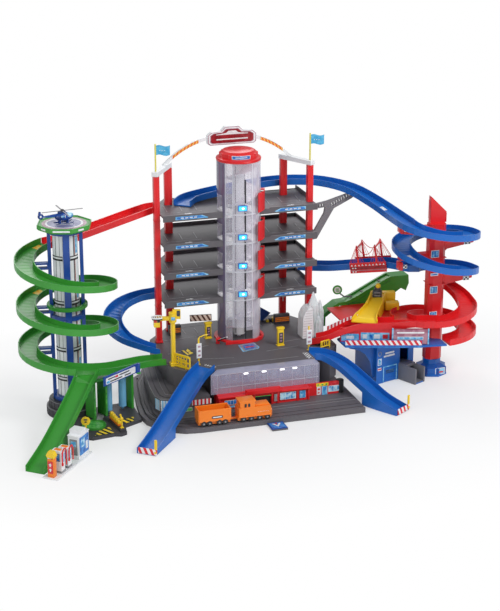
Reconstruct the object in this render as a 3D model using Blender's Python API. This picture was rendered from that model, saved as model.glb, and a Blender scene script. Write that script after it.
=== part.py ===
"""Toy garage: a lift tube with four parking floors, two spiral towers, ramps, bridges and a train.

Metres, +Z up. The origin is on the floor under the lift's axis. +X runs to the right-hand tower and
+Y to the back. Each sub-part is one object, and a moving one has its origin on its joint's axis.
"""

import math

import bmesh
import bpy
from mathutils import Matrix, Vector

for old in list(bpy.data.objects):
    bpy.data.objects.remove(old, do_unlink=True)

# Clearance between pieces that touch, and the thin moulded walls
GAP = 0.0003
RUN_GAP = 0.0006
WALL = 0.003
PLATE = 0.004

# Plinth that carries the train track
PLINTH_HEIGHT = 0.016
PLINTH_RIGHT = 0.262
PLINTH_FRONT = -0.455
PLINTH_BACK = 0.165
PLINTH_EDGE = [(-0.262, 0.165), (-0.289, 0.140), (-0.300, 0.085), (-0.325, 0.028), (-0.354, -0.002),
               (-0.367, -0.053), (-0.379, -0.119),
               (-0.394, -0.216), (-0.4028, -0.301), (-0.396, -0.350), (-0.374, -0.391), (-0.340, -0.428),
               (-0.300, -0.449), (-0.255, -0.455)]
PLINTH = [*PLINTH_EDGE, (PLINTH_RIGHT, PLINTH_FRONT), (PLINTH_RIGHT, PLINTH_BACK)]
GROOVE_DEPTH = 0.004
GROOVE_WIDTH = 0.005
GROOVE_START = 4
TRACK_INSET = 0.014
TRACK_PITCH = 0.024

# City deck
DECK_TOP = 0.120
DECK_LEFT = -0.285
DECK_RIGHT = 0.270
DECK_FRONT = -0.2705
DECK_BACK = 0.160
DECK_WALL = 0.004

# Lift tube, screw and drive
TUBE_RADIUS = 0.068
TUBE_ABOVE_TOP_LEVEL = 0.158
CAP_HEIGHT = 0.029
CAP_OVERHANG = 0.002
CAP_CROWN = 0.0585
SCREW_CORE = 0.020
FLIGHT_THICKNESS = 0.003
FLIGHT_CLEARANCE = 0.002
SHAFT_RADIUS = 0.006
GEAR_MODULE = 0.0015
GEAR_TEETH = 36
PINION_TEETH = 12
GEAR_WIDTH = 0.006
GEAR_HEIGHT = 0.088
MOTOR_SIZE = (0.034, 0.026, 0.034)

# Parking floors
FIRST_LEVEL = 0.265
LEVEL_STEP = 0.0933
LEVELS = 4
FLOOR_RIGHT = 0.252
FLOOR_FRONT = -0.030
FLOOR_BACK = 0.178
FLOOR_PLATE = 0.005
FLOOR_CORNER = 0.015
FASCIA_HEIGHT = 0.017
KERB_HEIGHT = 0.011
KERB_WIDTH = 0.003
GATE_HEIGHT = 0.062
GATE_RADIUS = 0.0795
GATE_SPAN = 52.0
GATE_START = -58.0
DOOR_SPAN = 50.0
DOOR_HEIGHT = 0.050

# Columns, as (x, y, width, depth), and the roof arch on them
COLUMNS = {
    "column_front_left": (-0.262, 0.014, 0.018, 0.018),
    "column_back_left": (-0.200, 0.108, 0.024, 0.014),
    "column_front_right": (0.240, 0.012, 0.018, 0.018),
    "column_back_right": (0.185, 0.112, 0.022, 0.014),
}
COLUMN_ABOVE_TOP_LEVEL = 0.120
BRACKET_HEIGHT = 0.014
ARCH_RISE = 0.090
ARCH_PLANE = 0.086
ARCH_WIDTH = 0.014
ARCH_DEPTH = 0.010
BOARD_SHIFT = 0.012
BOARD_WIDTH = 0.160
BOARD_HEIGHT = 0.058
BOARD_THICKNESS = 0.012
FLAG_POLE_RADIUS = 0.0022
FLAG_POLE_HEIGHT = 0.086

# Tracks: clear width between the rims, rim height and walls
TRACK_WIDTH = 0.052
RIM_HEIGHT = 0.016
RIM_WALL = 0.003
RAMP_WIDTH = 0.054

# Left tower
LEFT_X = -0.588
LEFT_Y = -0.175
LEFT_LOOP = 0.1225
FOOT_RADIUS = 0.073
FOOT_HEIGHT = 0.050
FOOT_STEP = 0.008
POST_RING = 0.047
POST_WIDTH = 0.019
POST_DEPTH = 0.010
LEFT_SHAFT_RADIUS = 0.037
HELIPAD_TOP = 0.596
HELIPAD_RADIUS = 0.083
HELIPAD_THICKNESS = 0.015
LEFT_HEIGHTS = [(108, 0.498), (180, 0.470), (360, 0.392), (540, 0.334), (720, 0.262), (900, 0.205),
                (976, 0.1805)]
ROTOR_RADIUS = 0.062

# Right tower
RIGHT_X = 0.589
RIGHT_Y = -0.200
RIGHT_LOOP = 0.1125
RIGHT_LOOP_DEPTH = 0.86
MAST_WIDTH = 0.054
MAST_DEPTH = 0.050
RIGHT_FOOT_RADIUS = 0.048
RIGHT_FOOT_HEIGHT = 0.036
MAST_TOP = 0.537
FIN_TOP = 0.590
BLUE_HEIGHTS = [(200, 0.505), (270, 0.478), (360, 0.452), (450, 0.440), (540, 0.420), (630, 0.370),
                (720, 0.334), (776, 0.328)]
RED_HEIGHTS = [(74, 0.286), (0, 0.221), (-90, 0.200), (-180, 0.194), (-270, 0.174), (-360, 0.142),
               (-448, 0.1365)]

# Rescue area beside the right tower
PLATFORM_TOP = 0.186
LEDGE_TOP = 0.1390

# Train
TRAIN_WIDTH = 0.044
ENGINE_LEFT = -0.140
ENGINE_LENGTH = 0.104
WAGON_LENGTH = 0.098
TRAIN_SPACE = 0.024


def level(index):
    """Top surface of a parking floor, counted from 0."""
    return FIRST_LEVEL + index * LEVEL_STEP


TOP_LEVEL = level(LEVELS - 1)
TUBE_TOP = TOP_LEVEL + TUBE_ABOVE_TOP_LEVEL
COLUMN_TOP = TOP_LEVEL + COLUMN_ABOVE_TOP_LEVEL
TUBE_INNER = TUBE_RADIUS - WALL


def finish(obj, name, colour, roughness=0.4, metallic=0.0, origin=None):
    """Names the object, gives it its own material and puts its origin on its joint's axis."""
    obj.name = name
    obj.data.name = name
    coat = bpy.data.materials.new(name)
    coat.use_nodes = True
    shader = coat.node_tree.nodes["Principled BSDF"]
    shader.inputs["Base Color"].default_value = (*colour, 1.0)
    shader.inputs["Roughness"].default_value = roughness
    shader.inputs["Metallic"].default_value = metallic
    coat.diffuse_color = (*colour, 1.0)
    obj.data.materials.clear()
    obj.data.materials.append(coat)
    if origin is not None:
        obj.data.transform(Matrix.Translation(-Vector(origin)))
        obj.location = origin
    for polygon in obj.data.polygons:
        polygon.use_smooth = True
    obj.data.set_sharp_from_angle(angle=math.radians(35))
    return obj


def placed(shape, name="piece"):
    """Turns a bmesh into an object of the scene."""
    bmesh.ops.recalc_face_normals(shape, faces=shape.faces)
    mesh = bpy.data.meshes.new(name)
    shape.to_mesh(mesh)
    shape.free()
    obj = bpy.data.objects.new(name, mesh)
    bpy.context.scene.collection.objects.link(obj)
    return obj


def combined(base, others, operation):
    """Applies Boolean steps to the base and removes the other shapes."""
    for other in others:
        step = base.modifiers.new(operation, "BOOLEAN")
        step.operation = operation
        step.object = other
        step.solver = "EXACT"
    graph = bpy.context.evaluated_depsgraph_get()
    result = bpy.data.meshes.new_from_object(base.evaluated_get(graph))
    base.modifiers.clear()
    base.data = result
    for other in others:
        bpy.data.objects.remove(other, do_unlink=True)
    return base


def joined(*shapes):
    return combined(shapes[0], list(shapes[1:]), "UNION")


def cut(base, *cutters):
    return combined(base, list(cutters), "DIFFERENCE")


def prism(outline, low, high):
    """An outline in plan, extruded from one height to another."""
    shape = bmesh.new()
    face = shape.faces.new([shape.verts.new((x, y, low)) for x, y in outline])
    grown = bmesh.ops.extrude_face_region(shape, geom=[face])
    tops = [item for item in grown["geom"] if isinstance(item, bmesh.types.BMVert)]
    bmesh.ops.translate(shape, verts=tops, vec=(0, 0, high - low))
    return placed(shape)


def slab(x_range, y_range, z_range):
    (x0, x1), (y0, y1) = x_range, y_range
    return prism([(x0, y0), (x1, y0), (x1, y1), (x0, y1)], *z_range)


def upright(outline, start, end, place=None):
    """An outline in x and z, extruded along y, then turned or moved by a matrix."""
    obj = prism([(x, z) for x, z in outline], start, end)
    turn = Matrix(((1, 0, 0, 0), (0, 0, 1, 0), (0, 1, 0, 0), (0, 0, 0, 1)))
    obj.data.transform(turn)
    if place is not None:
        obj.data.transform(place)
    obj.data.flip_normals()
    return obj


def heading_frame(point, degrees):
    """A matrix whose x axis points along a heading in plan, with its origin at the point."""
    return Matrix.Translation(Vector(point)) @ Matrix.Rotation(math.radians(degrees), 4, "Z")


def block(point, degrees, length, width, z_range, start=0.0):
    """A box along a heading, from the start distance, centred across it."""
    obj = slab((start, start + length), (-width / 2, width / 2), z_range)
    obj.data.transform(heading_frame((point[0], point[1], 0), degrees))
    return obj


def circle(radius, steps, centre=(0.0, 0.0), turn=0.0):
    angles = [math.radians(turn) + 2 * math.pi * i / steps for i in range(steps)]
    return [(centre[0] + radius * math.cos(a), centre[1] + radius * math.sin(a)) for a in angles]


def arc(radius, start, end, steps, centre=(0.0, 0.0)):
    angles = [math.radians(start + (end - start) * i / steps) for i in range(steps + 1)]
    return [(centre[0] + radius * math.cos(a), centre[1] + radius * math.sin(a)) for a in angles]


def sector(inner, outer, start, end, z_range, steps=8, centre=(0.0, 0.0)):
    """A curved panel between two radii."""
    outline = arc(outer, start, end, steps, centre) + arc(inner, end, start, steps, centre)
    return prism(outline, *z_range)


def turned(profile, centre=(0.0, 0.0), steps=24, closed=False, turn=0.0):
    """A profile of (radius, height) turned about a vertical axis. A closed profile makes a ring."""
    shape = bmesh.new()
    rings = []
    for radius, height in profile:
        if radius == 0.0:
            rings.append([shape.verts.new((centre[0], centre[1], height))])
        else:
            points = circle(radius, steps, centre, turn)
            rings.append([shape.verts.new((x, y, height)) for x, y in points])
    pairs = list(zip(rings, rings[1:]))
    if closed:
        pairs.append((rings[-1], rings[0]))
    for low, high in pairs:
        for i in range(steps):
            j = (i + 1) % steps
            if len(low) == 1:
                shape.faces.new((low[0], high[j], high[i]))
            elif len(high) == 1:
                shape.faces.new((low[i], low[j], high[0]))
            else:
                shape.faces.new((low[i], low[j], high[j], high[i]))
    return placed(shape)


def cylinder(centre, radius, z_range, steps=16):
    low, high = z_range
    return turned([(0.0, low), (radius, low), (radius, high), (0.0, high)], centre, steps)


def smooth_path(points, steps):
    """A smooth curve through hand-chosen points (x, y, z)."""
    points = [Vector(p) for p in points]
    ends = [2 * points[0] - points[1], *points, 2 * points[-1] - points[-2]]
    path = []
    for before, a, b, after in zip(ends, ends[1:], ends[2:], ends[3:]):
        for i in range(steps):
            t = i / steps
            path.append(
                0.5 * ((2 * a) + (b - before) * t + (2 * before - 5 * a + 4 * b - after) * t**2
                       + (3 * a - before - 3 * b + after) * t**3)
            )
    path.append(points[-1])
    return path


def plan_sides(path, start=None, end=None):
    """The level unit vector to the right of the path at each point. The ends can be given as headings."""
    steps = [Vector(((b - a).x, (b - a).y, 0)).normalized() for a, b in zip(path, path[1:])]
    ahead = [a + b for a, b in zip(steps, steps[1:])]
    first = steps[0] + (steps[0] - steps[1]) / 2
    last = steps[-1] + (steps[-1] - steps[-2]) / 2
    if start is not None:
        first = Vector((math.cos(math.radians(start)), math.sin(math.radians(start)), 0))
    if end is not None:
        last = Vector((math.cos(math.radians(end)), math.sin(math.radians(end)), 0))
    return [Vector((d.y, -d.x, 0)).normalized() for d in (first, *ahead, last)]


def swept(path, sections, start=None, end=None):
    """A closed body from one section of (across, height) points for each point of the path."""
    shape = bmesh.new()
    rings = []
    for point, side, section in zip(path, plan_sides(path, start, end), sections):
        rings.append([shape.verts.new(point + side * across + Vector((0, 0, up))) for across,
                      up in section])
    for a, b in zip(rings, rings[1:]):
        for i in range(len(a)):
            j = (i + 1) % len(a)
            shape.faces.new((a[i], a[j], b[j], b[i]))
    shape.faces.new(rings[0][::-1])
    shape.faces.new(rings[-1])
    return placed(shape)


def gutter(width, rim=RIM_HEIGHT, wall=RIM_WALL, below=PLATE):
    """Section of a track: a floor with a rim on each side. Height 0 is where the wheels run."""
    half = width / 2
    return [(-half - wall, -below), (half + wall, -below), (half + wall, rim), (half, rim),
            (half, 0), (-half, 0), (-half, rim), (-half - wall, rim)]


def track(path, width=TRACK_WIDTH, start=None, end=None):
    return swept(path, [gutter(width)] * len(path), start, end)


def lane(path, width=TRACK_WIDTH, start=None, end=None):
    """The free space between a track's rims, as a cutter."""
    half = width / 2
    space = [(-half, 0.0005), (half, 0.0005), (half, 3 * RIM_HEIGHT), (-half, 3 * RIM_HEIGHT)]
    return swept(path, [space] * len(path), start, end)


def grounded_track(path, width, ground, start, heading=None):
    """A track whose body reaches down to the ground from the given point of its path onward."""
    points = []
    sections = []
    for i, point in enumerate(path):
        deep = max(point.z - ground, 0.0012)
        if i == start:
            nearly = point + (path[i - 1] - point) * 0.02
            points.append(nearly)
            sections.append(gutter(width))
        points.append(point)
        sections.append(gutter(width, below=deep if i >= start else PLATE))
    return swept(points, sections, heading)


def height_at(heights, angle):
    """Eased height between the listed angles of a spiral."""
    for (a, low), (b, high) in zip(heights, heights[1:]):
        if min(a, b) <= angle <= max(a, b):
            return low + (high - low) * (angle - a) / (b - a)
    return heights[-1][1]


def spiral_path(centre, radius, heights, depth=1.0, step=9.0):
    """A spiral round a vertical axis, with its height read from the listed angles."""
    start, end = heights[0][0], heights[-1][0]
    count = max(2, round(abs(end - start) / step))
    path = []
    for i in range(count + 1):
        angle = start + (end - start) * i / count
        a = math.radians(angle)
        path.append(Vector((
            centre[0] + radius * math.cos(a), centre[1] + radius * depth * math.sin(a),
            height_at(heights, angle)
        )))
    return path


def gear_outline(teeth, module, centre=(0.0, 0.0), turn=0.0):
    """Straight-sided teeth with backlash, for a moulded toy gear."""
    pitch_radius = teeth * module / 2
    root, tip = pitch_radius - 1.25 * module, pitch_radius + 0.8 * module
    step = 2 * math.pi / teeth
    points = []
    for i in range(teeth):
        middle = math.radians(turn) + i * step
        for radius, share in ((root, -0.30), (tip, -0.13), (tip, 0.13), (root, 0.30)):
            a = middle + share * step
            points.append((centre[0] + radius * math.cos(a), centre[1] + radius * math.sin(a)))
    return points


# Colours
DARK_GREY = (0.10, 0.10, 0.11)
DECK_GREY = (0.24, 0.23, 0.25)
BLUE = (0.02, 0.16, 0.62)
SKY_BLUE = (0.03, 0.25, 0.70)
GREEN = (0.08, 0.42, 0.06)
RED = (0.75, 0.03, 0.04)
YELLOW = (0.95, 0.70, 0.03)
ORANGE = (0.90, 0.22, 0.03)
WHITE = (0.85, 0.86, 0.88)
CLEAR = (0.75, 0.76, 0.84)


# Plinth
def inset(outline, distance):
    """An anticlockwise outline moved inward by a distance."""
    moved = []
    for before, at, after in zip(outline[-1:] + outline, outline, outline[1:] + outline[:1]):
        a = (Vector(at) - Vector(before)).normalized()
        b = (Vector(after) - Vector(at)).normalized()
        normal = Vector((-a.y - b.y, a.x + b.x)).normalized()
        moved.append(tuple(Vector(at) + normal * distance / max(0.3, normal.dot(Vector((-a.y, a.x))))))
    return moved


def train_line(distance):
    """Centre of a groove: along the plinth's left edge, round the corner and along the front."""
    line = inset(PLINTH, distance)[GROOVE_START:len(PLINTH_EDGE)]
    line.append((PLINTH_RIGHT + 0.01, PLINTH_FRONT + distance))
    return [Vector((x, y, PLINTH_HEIGHT)) for x, y in line]


def make_plinth():
    base = prism(PLINTH, 0.0, PLINTH_HEIGHT)
    half = GROOVE_WIDTH / 2
    groove = [(-half, -GROOVE_DEPTH), (half, -GROOVE_DEPTH), (half, 0.002), (-half, 0.002)]
    cutters = []
    for distance in (TRACK_INSET, TRACK_INSET + TRACK_PITCH):
        line = train_line(distance)
        cutters.append(swept(line, [groove] * len(line)))
    base = cut(base, *cutters)
    entry = slab((-0.052, -0.004), (PLINTH_FRONT - 0.052, PLINTH_FRONT + 0.004), (0.0, 0.004))
    finish(joined(base, entry), "track_base", DARK_GREY, 0.55)


# Ramps down from the deck
LEFT_RAMP_ROUTE = [(-0.180, -0.247), (-0.222, -0.287), (-0.275, -0.346), (-0.345, -0.428),
                   (-0.402, -0.498), (-0.448, -0.556)]
LEFT_RAMP_DROP = [0.0, 0.10, 0.34, 0.66, 0.88, 1.0]
LEFT_RAMP_HEADING = 222.0
RIGHT_RAMP_ROUTE = [(0.1645, -0.240), (0.205, -0.254), (0.248, -0.298), (0.290, -0.366), (0.325, -0.430),
                    (0.366, -0.494)]
RIGHT_RAMP_DROP = [0.0, 0.05, 0.23, 0.55, 0.82, 1.0]
RAMP_OFF_PLINTH = -0.795


def along(point, degrees, distance, across=0.0):
    a = math.radians(degrees)
    return (point[0] + distance * math.cos(a) + across * math.sin(a),
            point[1] + distance * math.sin(a) - across * math.cos(a))


def left_ramp_edge(clear):
    """Both ends of the line on the deck where the left ramp hooks in, first the left end."""
    half = RAMP_WIDTH / 2 + RIM_WALL + GAP
    far = along(LEFT_RAMP_ROUTE[0], LEFT_RAMP_HEADING, -clear, half)
    near = along(LEFT_RAMP_ROUTE[0], LEFT_RAMP_HEADING, -clear, -half)
    return far, near


TERRACE_TOP = 0.062
TERRACE = [(-0.324, -0.020), (-0.338, -0.110), (-0.350, -0.215), (-0.353, -0.285), (-0.344, -0.312),
           (-0.318, -0.326), (-0.192, -0.326),
           (-0.192, -0.262), (-0.240, -0.180), (-0.250, 0.020)]


def deck_outline():
    far, near = left_ramp_edge(GAP)
    notch = RIGHT_RAMP_ROUTE[0][0] - GAP
    notch_back = RIGHT_RAMP_ROUTE[0][1] + RAMP_WIDTH / 2 + RIM_WALL + 4 * GAP
    return [
        (DECK_LEFT, -0.186),
        (DECK_LEFT + 0.008, -0.222),
        (DECK_LEFT + 0.038, -0.254),
        far,
        near,
        (near[0] + 0.004, DECK_FRONT),
        (notch, DECK_FRONT),
        (notch, notch_back),
        (DECK_RIGHT - 0.034, notch_back),
        (DECK_RIGHT, notch_back + 0.034),
        (DECK_RIGHT, DECK_BACK - 0.12),
        (DECK_RIGHT - 0.065, DECK_BACK),
        (DECK_LEFT + 0.095, DECK_BACK),
        (DECK_LEFT, DECK_BACK - 0.115),
    ]


def make_deck():
    bottom = PLINTH_HEIGHT + GAP
    deck = joined(prism(deck_outline(), bottom, DECK_TOP), prism(TERRACE, bottom, TERRACE_TOP))
    inside = joined(prism(inset(deck_outline(), DECK_WALL), bottom - 0.01, DECK_TOP - DECK_WALL),
                    prism(inset(TERRACE, DECK_WALL), bottom - 0.01, TERRACE_TOP - DECK_WALL))
    shaft_hole = cylinder((0, 0), SHAFT_RADIUS + RUN_GAP, (DECK_TOP - 0.02, DECK_TOP + 0.02), 16)
    doorway = slab((STATION_DOOR[0], STATION_DOOR[1]), (DECK_FRONT - 0.01, DECK_FRONT + 0.02),
                   (bottom - 0.01, STATION_DOOR_TOP))
    deck = cut(deck, inside, shaft_hole, doorway)
    finish(deck, "city_deck", DECK_GREY, 0.5)


# Station front and canopy
STATION_LEFT = -0.168
STATION_RIGHT = 0.122
STATION_FRONT = -0.340
STATION_ROOF = 0.056
SHOP_RIGHT = 0.232
SHOP_FRONT = -0.318
GABLE_WIDTH = 0.110
GABLE_HEIGHT = 0.014
STATION_DOOR = (-0.055, -0.002)
STATION_DOOR_TOP = 0.050
CANOPY_FRONT = -0.313


def make_station():
    bottom = PLINTH_HEIGHT + GAP
    back = DECK_FRONT - GAP
    shell = prism(
        [(STATION_LEFT, STATION_FRONT), (STATION_RIGHT, STATION_FRONT), (STATION_RIGHT, SHOP_FRONT),
         (0.158, SHOP_FRONT), (0.158, back), (STATION_LEFT + 0.014, back), (STATION_LEFT, back - 0.014)],
        bottom, STATION_ROOF)
    hall = slab((STATION_LEFT + 0.016, STATION_RIGHT - 2 * WALL), (STATION_FRONT + 2 * WALL, back + 0.01),
                (bottom - 0.01, STATION_ROOF - PLATE))
    door = slab(STATION_DOOR, (STATION_FRONT - 0.01, STATION_FRONT + 0.02),
                (bottom - 0.02, STATION_DOOR_TOP - 0.006))
    middle = (STATION_DOOR[0] + STATION_DOOR[1]) / 2
    gable = slab((middle - GABLE_WIDTH / 2, middle + GABLE_WIDTH / 2),
                 (STATION_FRONT - WALL, STATION_FRONT + 2 * WALL),
                 (STATION_ROOF - 0.006, STATION_ROOF + GABLE_HEIGHT))
    shop = slab((0.150, SHOP_RIGHT), (SHOP_FRONT, SHOP_FRONT + 2 * WALL), (bottom, STATION_ROOF))
    station = joined(cut(shell, hall, door), gable, shop)
    finish(station, "station_front", RED, 0.4)


def make_canopy():
    far, near = left_ramp_edge(GAP)
    left_back = (near[0] + 0.006, DECK_FRONT - 2 * GAP)
    right_back = (RIGHT_RAMP_ROUTE[0][0] - 0.003, DECK_FRONT - 2 * GAP)
    slope = CANOPY_FRONT - DECK_FRONT
    left_front = (left_back[0] + slope * 0.75, CANOPY_FRONT)
    right_front = (right_back[0] + 0.002, CANOPY_FRONT)
    outline = [left_front, right_front, right_back, left_back]
    low, high = STATION_ROOF + GAP, DECK_TOP
    hood = prism(outline, low, high)
    inner = [(left_front[0] + WALL + 0.004, left_front[1] + WALL),
             (right_front[0] - WALL, right_front[1] + WALL),
             (right_back[0] - WALL, right_back[1] - WALL), (left_back[0] + WALL, left_back[1] - WALL)]
    hood = cut(hood, prism(inner, low - 0.01, high - WALL))
    finish(hood, "concourse_canopy", CLEAR, 0.1)


def make_ramps():
    feet = []
    for name, route, drops, heading in (
        ("front_ramp_left", LEFT_RAMP_ROUTE, LEFT_RAMP_DROP, LEFT_RAMP_HEADING),
        ("front_ramp_right", RIGHT_RAMP_ROUTE, RIGHT_RAMP_DROP, 0.0),
    ):
        path = smooth_path([(x, y, DECK_TOP - (DECK_TOP - 0.0015) * drop) for (x, y),
                            drop in zip(route, drops)], 4)
        clear = RAMP_WIDTH / 2 + RIM_WALL + 0.006
        start = next(i for i, p in enumerate(path) if p.x - clear > PLINTH_RIGHT or (p.x < 0 and p.y
            + p.x < RAMP_OFF_PLINTH))
        finish(grounded_track(path, RAMP_WIDTH, 0.0, start, heading), name, SKY_BLUE, 0.35)
        last = path[-1] - path[-2]
        feet.append((path[-1], math.degrees(math.atan2(last.y, last.x))))
    return feet


# Barriers at the foot of the ramps, each turning up on a pin in its ramp's right-hand rim
GATE_BAR_LENGTH = 0.058
GATE_BAR_HEIGHT = 0.017
GATE_BAR_THICKNESS = 0.003
GATE_TAIL = 0.030


def make_ramp_gate(name, foot, degrees):
    """A striped bar across the end of the ramp with a raised tail behind its pin."""
    half = RAMP_WIDTH / 2 + RIM_WALL
    pin = along(foot, degrees, GAP + GATE_BAR_THICKNESS / 2, -half)
    low = 0.003
    bar = block(pin, degrees - 90, GATE_BAR_LENGTH, GATE_BAR_THICKNESS, (low, low + GATE_BAR_HEIGHT),
                -0.004)
    tail = block(pin, degrees - 90, 0.007, GATE_BAR_THICKNESS,
                 (low + GATE_BAR_HEIGHT - 0.002, low + GATE_BAR_HEIGHT + GATE_TAIL), -0.004)
    return finish(joined(bar, tail), name, YELLOW, 0.35,
                  origin=(pin[0], pin[1], low + GATE_BAR_HEIGHT / 2))


# Lift
def make_lift():
    bottom = DECK_TOP + GAP
    tube = turned([(TUBE_INNER, bottom), (TUBE_RADIUS, bottom), (TUBE_RADIUS, TUBE_TOP),
                   (TUBE_INNER, TUBE_TOP)],
                  steps=40, closed=True)
    doors = []
    for index in range(LEVELS):
        sill = level(index) + 0.001
        for middle in (0.0, 180.0):
            doors.append(sector(TUBE_INNER - 0.01, TUBE_RADIUS + 0.01, middle - DOOR_SPAN / 2,
                                middle + DOOR_SPAN / 2,
                                (sill, sill + DOOR_HEIGHT), 4))
    doors.append(sector(TUBE_INNER - 0.01, TUBE_RADIUS + 0.01, -125, -65,
                        (bottom + 0.002, bottom + DOOR_HEIGHT), 4))
    finish(cut(tube, *doors), "lift_tube", CLEAR, 0.1)
    foot = turned([(TUBE_RADIUS + GAP, bottom), (TUBE_RADIUS + 0.012, bottom),
                   (TUBE_RADIUS + 0.012, bottom + 0.004),
                   (TUBE_RADIUS + GAP, bottom + 0.006)], steps=40, closed=True)
    finish(foot, "lift_foot", RED, 0.4)
    outer = TUBE_RADIUS + CAP_OVERHANG
    low = TUBE_TOP + GAP
    cap = turned([(0.0, low), (outer, low), (outer, low + 0.28 * CAP_HEIGHT),
                  (CAP_CROWN, low + 0.40 * CAP_HEIGHT),
                  (CAP_CROWN, low + 0.80 * CAP_HEIGHT), (CAP_CROWN - 0.008, low + CAP_HEIGHT),
                  (0.0, low + CAP_HEIGHT)],
                 steps=40)
    lobes = [cylinder(p, 0.007, (low + 0.3 * CAP_HEIGHT, low + 0.84 * CAP_HEIGHT), 10)
             for p in circle(CAP_CROWN - 0.0045, 12, turn=15)]
    finish(joined(cap, *lobes), "lift_cap", RED, 0.35)


def make_screw():
    radius = TUBE_INNER - FLIGHT_CLEARANCE
    start = DECK_TOP + 0.012
    end = TUBE_TOP - 0.012
    turns = (end - start - 0.006) / LEVEL_STEP
    count = round(turns * 24)
    half = FLIGHT_THICKNESS / 2
    shape = bmesh.new()
    rings = []
    for i in range(count + 1):
        angle = 2 * math.pi * turns * i / count
        z = start + 0.003 + LEVEL_STEP * turns * i / count
        c, s = math.cos(angle), math.sin(angle)
        inner = SCREW_CORE - 0.004
        rings.append([shape.verts.new(p) for p in (
            (inner * c, inner * s, z - half), (radius * c, radius * s, z - half),
            (radius * c, radius * s, z + half), (inner * c, inner * s, z + half))])
    for a, b in zip(rings, rings[1:]):
        for k in range(4):
            m = (k + 1) % 4
            shape.faces.new((a[k], a[m], b[m], b[k]))
    shape.faces.new(rings[0][::-1])
    shape.faces.new(rings[-1])
    flight = placed(shape)
    core = turned([(0.0, GEAR_HEIGHT - 0.004), (SHAFT_RADIUS, GEAR_HEIGHT - 0.004),
                   (SHAFT_RADIUS, start - 0.003), (SCREW_CORE, start - 0.003),
                   (SCREW_CORE, end), (0.0, end)], steps=24)
    gear = prism(gear_outline(GEAR_TEETH, GEAR_MODULE), GEAR_HEIGHT, GEAR_HEIGHT + GEAR_WIDTH)
    finish(joined(core, flight, gear), "lift_screw", WHITE, 0.15, origin=(0, 0, GEAR_HEIGHT))


def make_drive():
    distance = (GEAR_TEETH + PINION_TEETH) * GEAR_MODULE / 2
    centre = (distance, 0.0)
    turn = 180.0 + 180.0 / PINION_TEETH
    width, depth, height = MOTOR_SIZE
    bottom = PLINTH_HEIGHT + GAP
    top = bottom + height
    case = slab((centre[0] - width / 2, centre[0] + width / 2), (-depth / 2, depth / 2), (bottom, top))
    boss = cylinder(centre, 0.008, (top - 0.002, top + 0.004), 16)
    pillar = slab((-0.010, 0.010), (-0.010, 0.010), (bottom, GEAR_HEIGHT - 0.004 - GAP))
    bridge = slab((-0.009, centre[0]), (-0.006, 0.006), (bottom, bottom + 0.006))
    finish(joined(case, boss, pillar, bridge), "lift_motor", DARK_GREY, 0.4)
    pin_low = top + 0.004 + GAP
    hub = turned([(0.0, pin_low), (0.004, pin_low), (0.004, GEAR_HEIGHT + GEAR_WIDTH),
                  (0.0, GEAR_HEIGHT + GEAR_WIDTH)],
                 centre, 12)
    teeth = prism(gear_outline(PINION_TEETH, GEAR_MODULE, centre, turn), GEAR_HEIGHT - 0.0005,
                  GEAR_HEIGHT + GEAR_WIDTH - 0.0005)
    finish(joined(teeth, hub), "motor_pinion", WHITE, 0.4, origin=(centre[0], centre[1], GEAR_HEIGHT))


# Parking floors, columns and roof
def column_hole(name, grow, z_range):
    x, y, width, depth = COLUMNS[name]
    return slab((x - width / 2 - grow, x + width / 2 + grow),
                (y - depth / 2 - grow, y + depth / 2 + grow), z_range)


def make_floor(index):
    top = level(index)
    x, y, width, depth = COLUMNS["column_front_left"]
    left = x + width / 2 + GAP
    inner = TUBE_RADIUS + GAP
    corner = COLUMNS["column_back_left"][0] - 0.5 * COLUMNS["column_back_left"][2] + FLOOR_CORNER
    plate = prism([(left, FLOOR_FRONT), (FLOOR_RIGHT, FLOOR_FRONT), (FLOOR_RIGHT, FLOOR_BACK),
                   (corner, FLOOR_BACK),
                   (left, CHUTE_START[1] + TRACK_WIDTH / 2 + RIM_WALL)], top - FLOOR_PLATE, top)
    pieces = []
    split = TUBE_RADIUS - 0.012
    for x0, x1 in ((left, -split), (split, FLOOR_RIGHT)):
        pieces.append(slab((x0, x1), (FLOOR_FRONT - WALL, FLOOR_FRONT + 0.001),
                           (top - FASCIA_HEIGHT, top)))
    pieces.append(slab((GATE_RADIUS + 0.012, FLOOR_RIGHT), (FLOOR_FRONT - WALL, FLOOR_FRONT),
                       (top - 0.001, top + 0.003)))
    pieces.append(slab((left, -split - 0.01), (FLOOR_FRONT - WALL, FLOOR_FRONT),
                       (top - 0.001, top + 0.003)))
    pieces.append(slab((corner, FLOOR_RIGHT), (FLOOR_BACK - KERB_WIDTH, FLOOR_BACK),
                       (top - 0.001, top + (KERB_HEIGHT if index < LEVELS - 1 else 0.0008))))
    for x0 in (FLOOR_RIGHT - KERB_WIDTH,):
        pieces.append(slab((x0, x0 + KERB_WIDTH), (COLUMNS["column_front_right"][1] + 0.020, FLOOR_BACK),
                           (top - 0.001, top + KERB_HEIGHT)))
    plate = joined(plate, *pieces)
    z_range = (top - 0.04, top + 0.04)
    cutters = [cylinder((0, 0), inner, z_range, 40)]
    for name in ("column_back_left", "column_front_right", "column_back_right"):
        cutters.append(column_hole(name, GAP, z_range))
    finish(cut(plate, *cutters), f"parking_floor_{index + 1}", DECK_GREY, 0.5)


def make_columns():
    for name in COLUMNS:
        finish(column_hole(name, 0.0, (DECK_TOP + GAP, COLUMN_TOP)), name, RED, 0.35)


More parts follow.
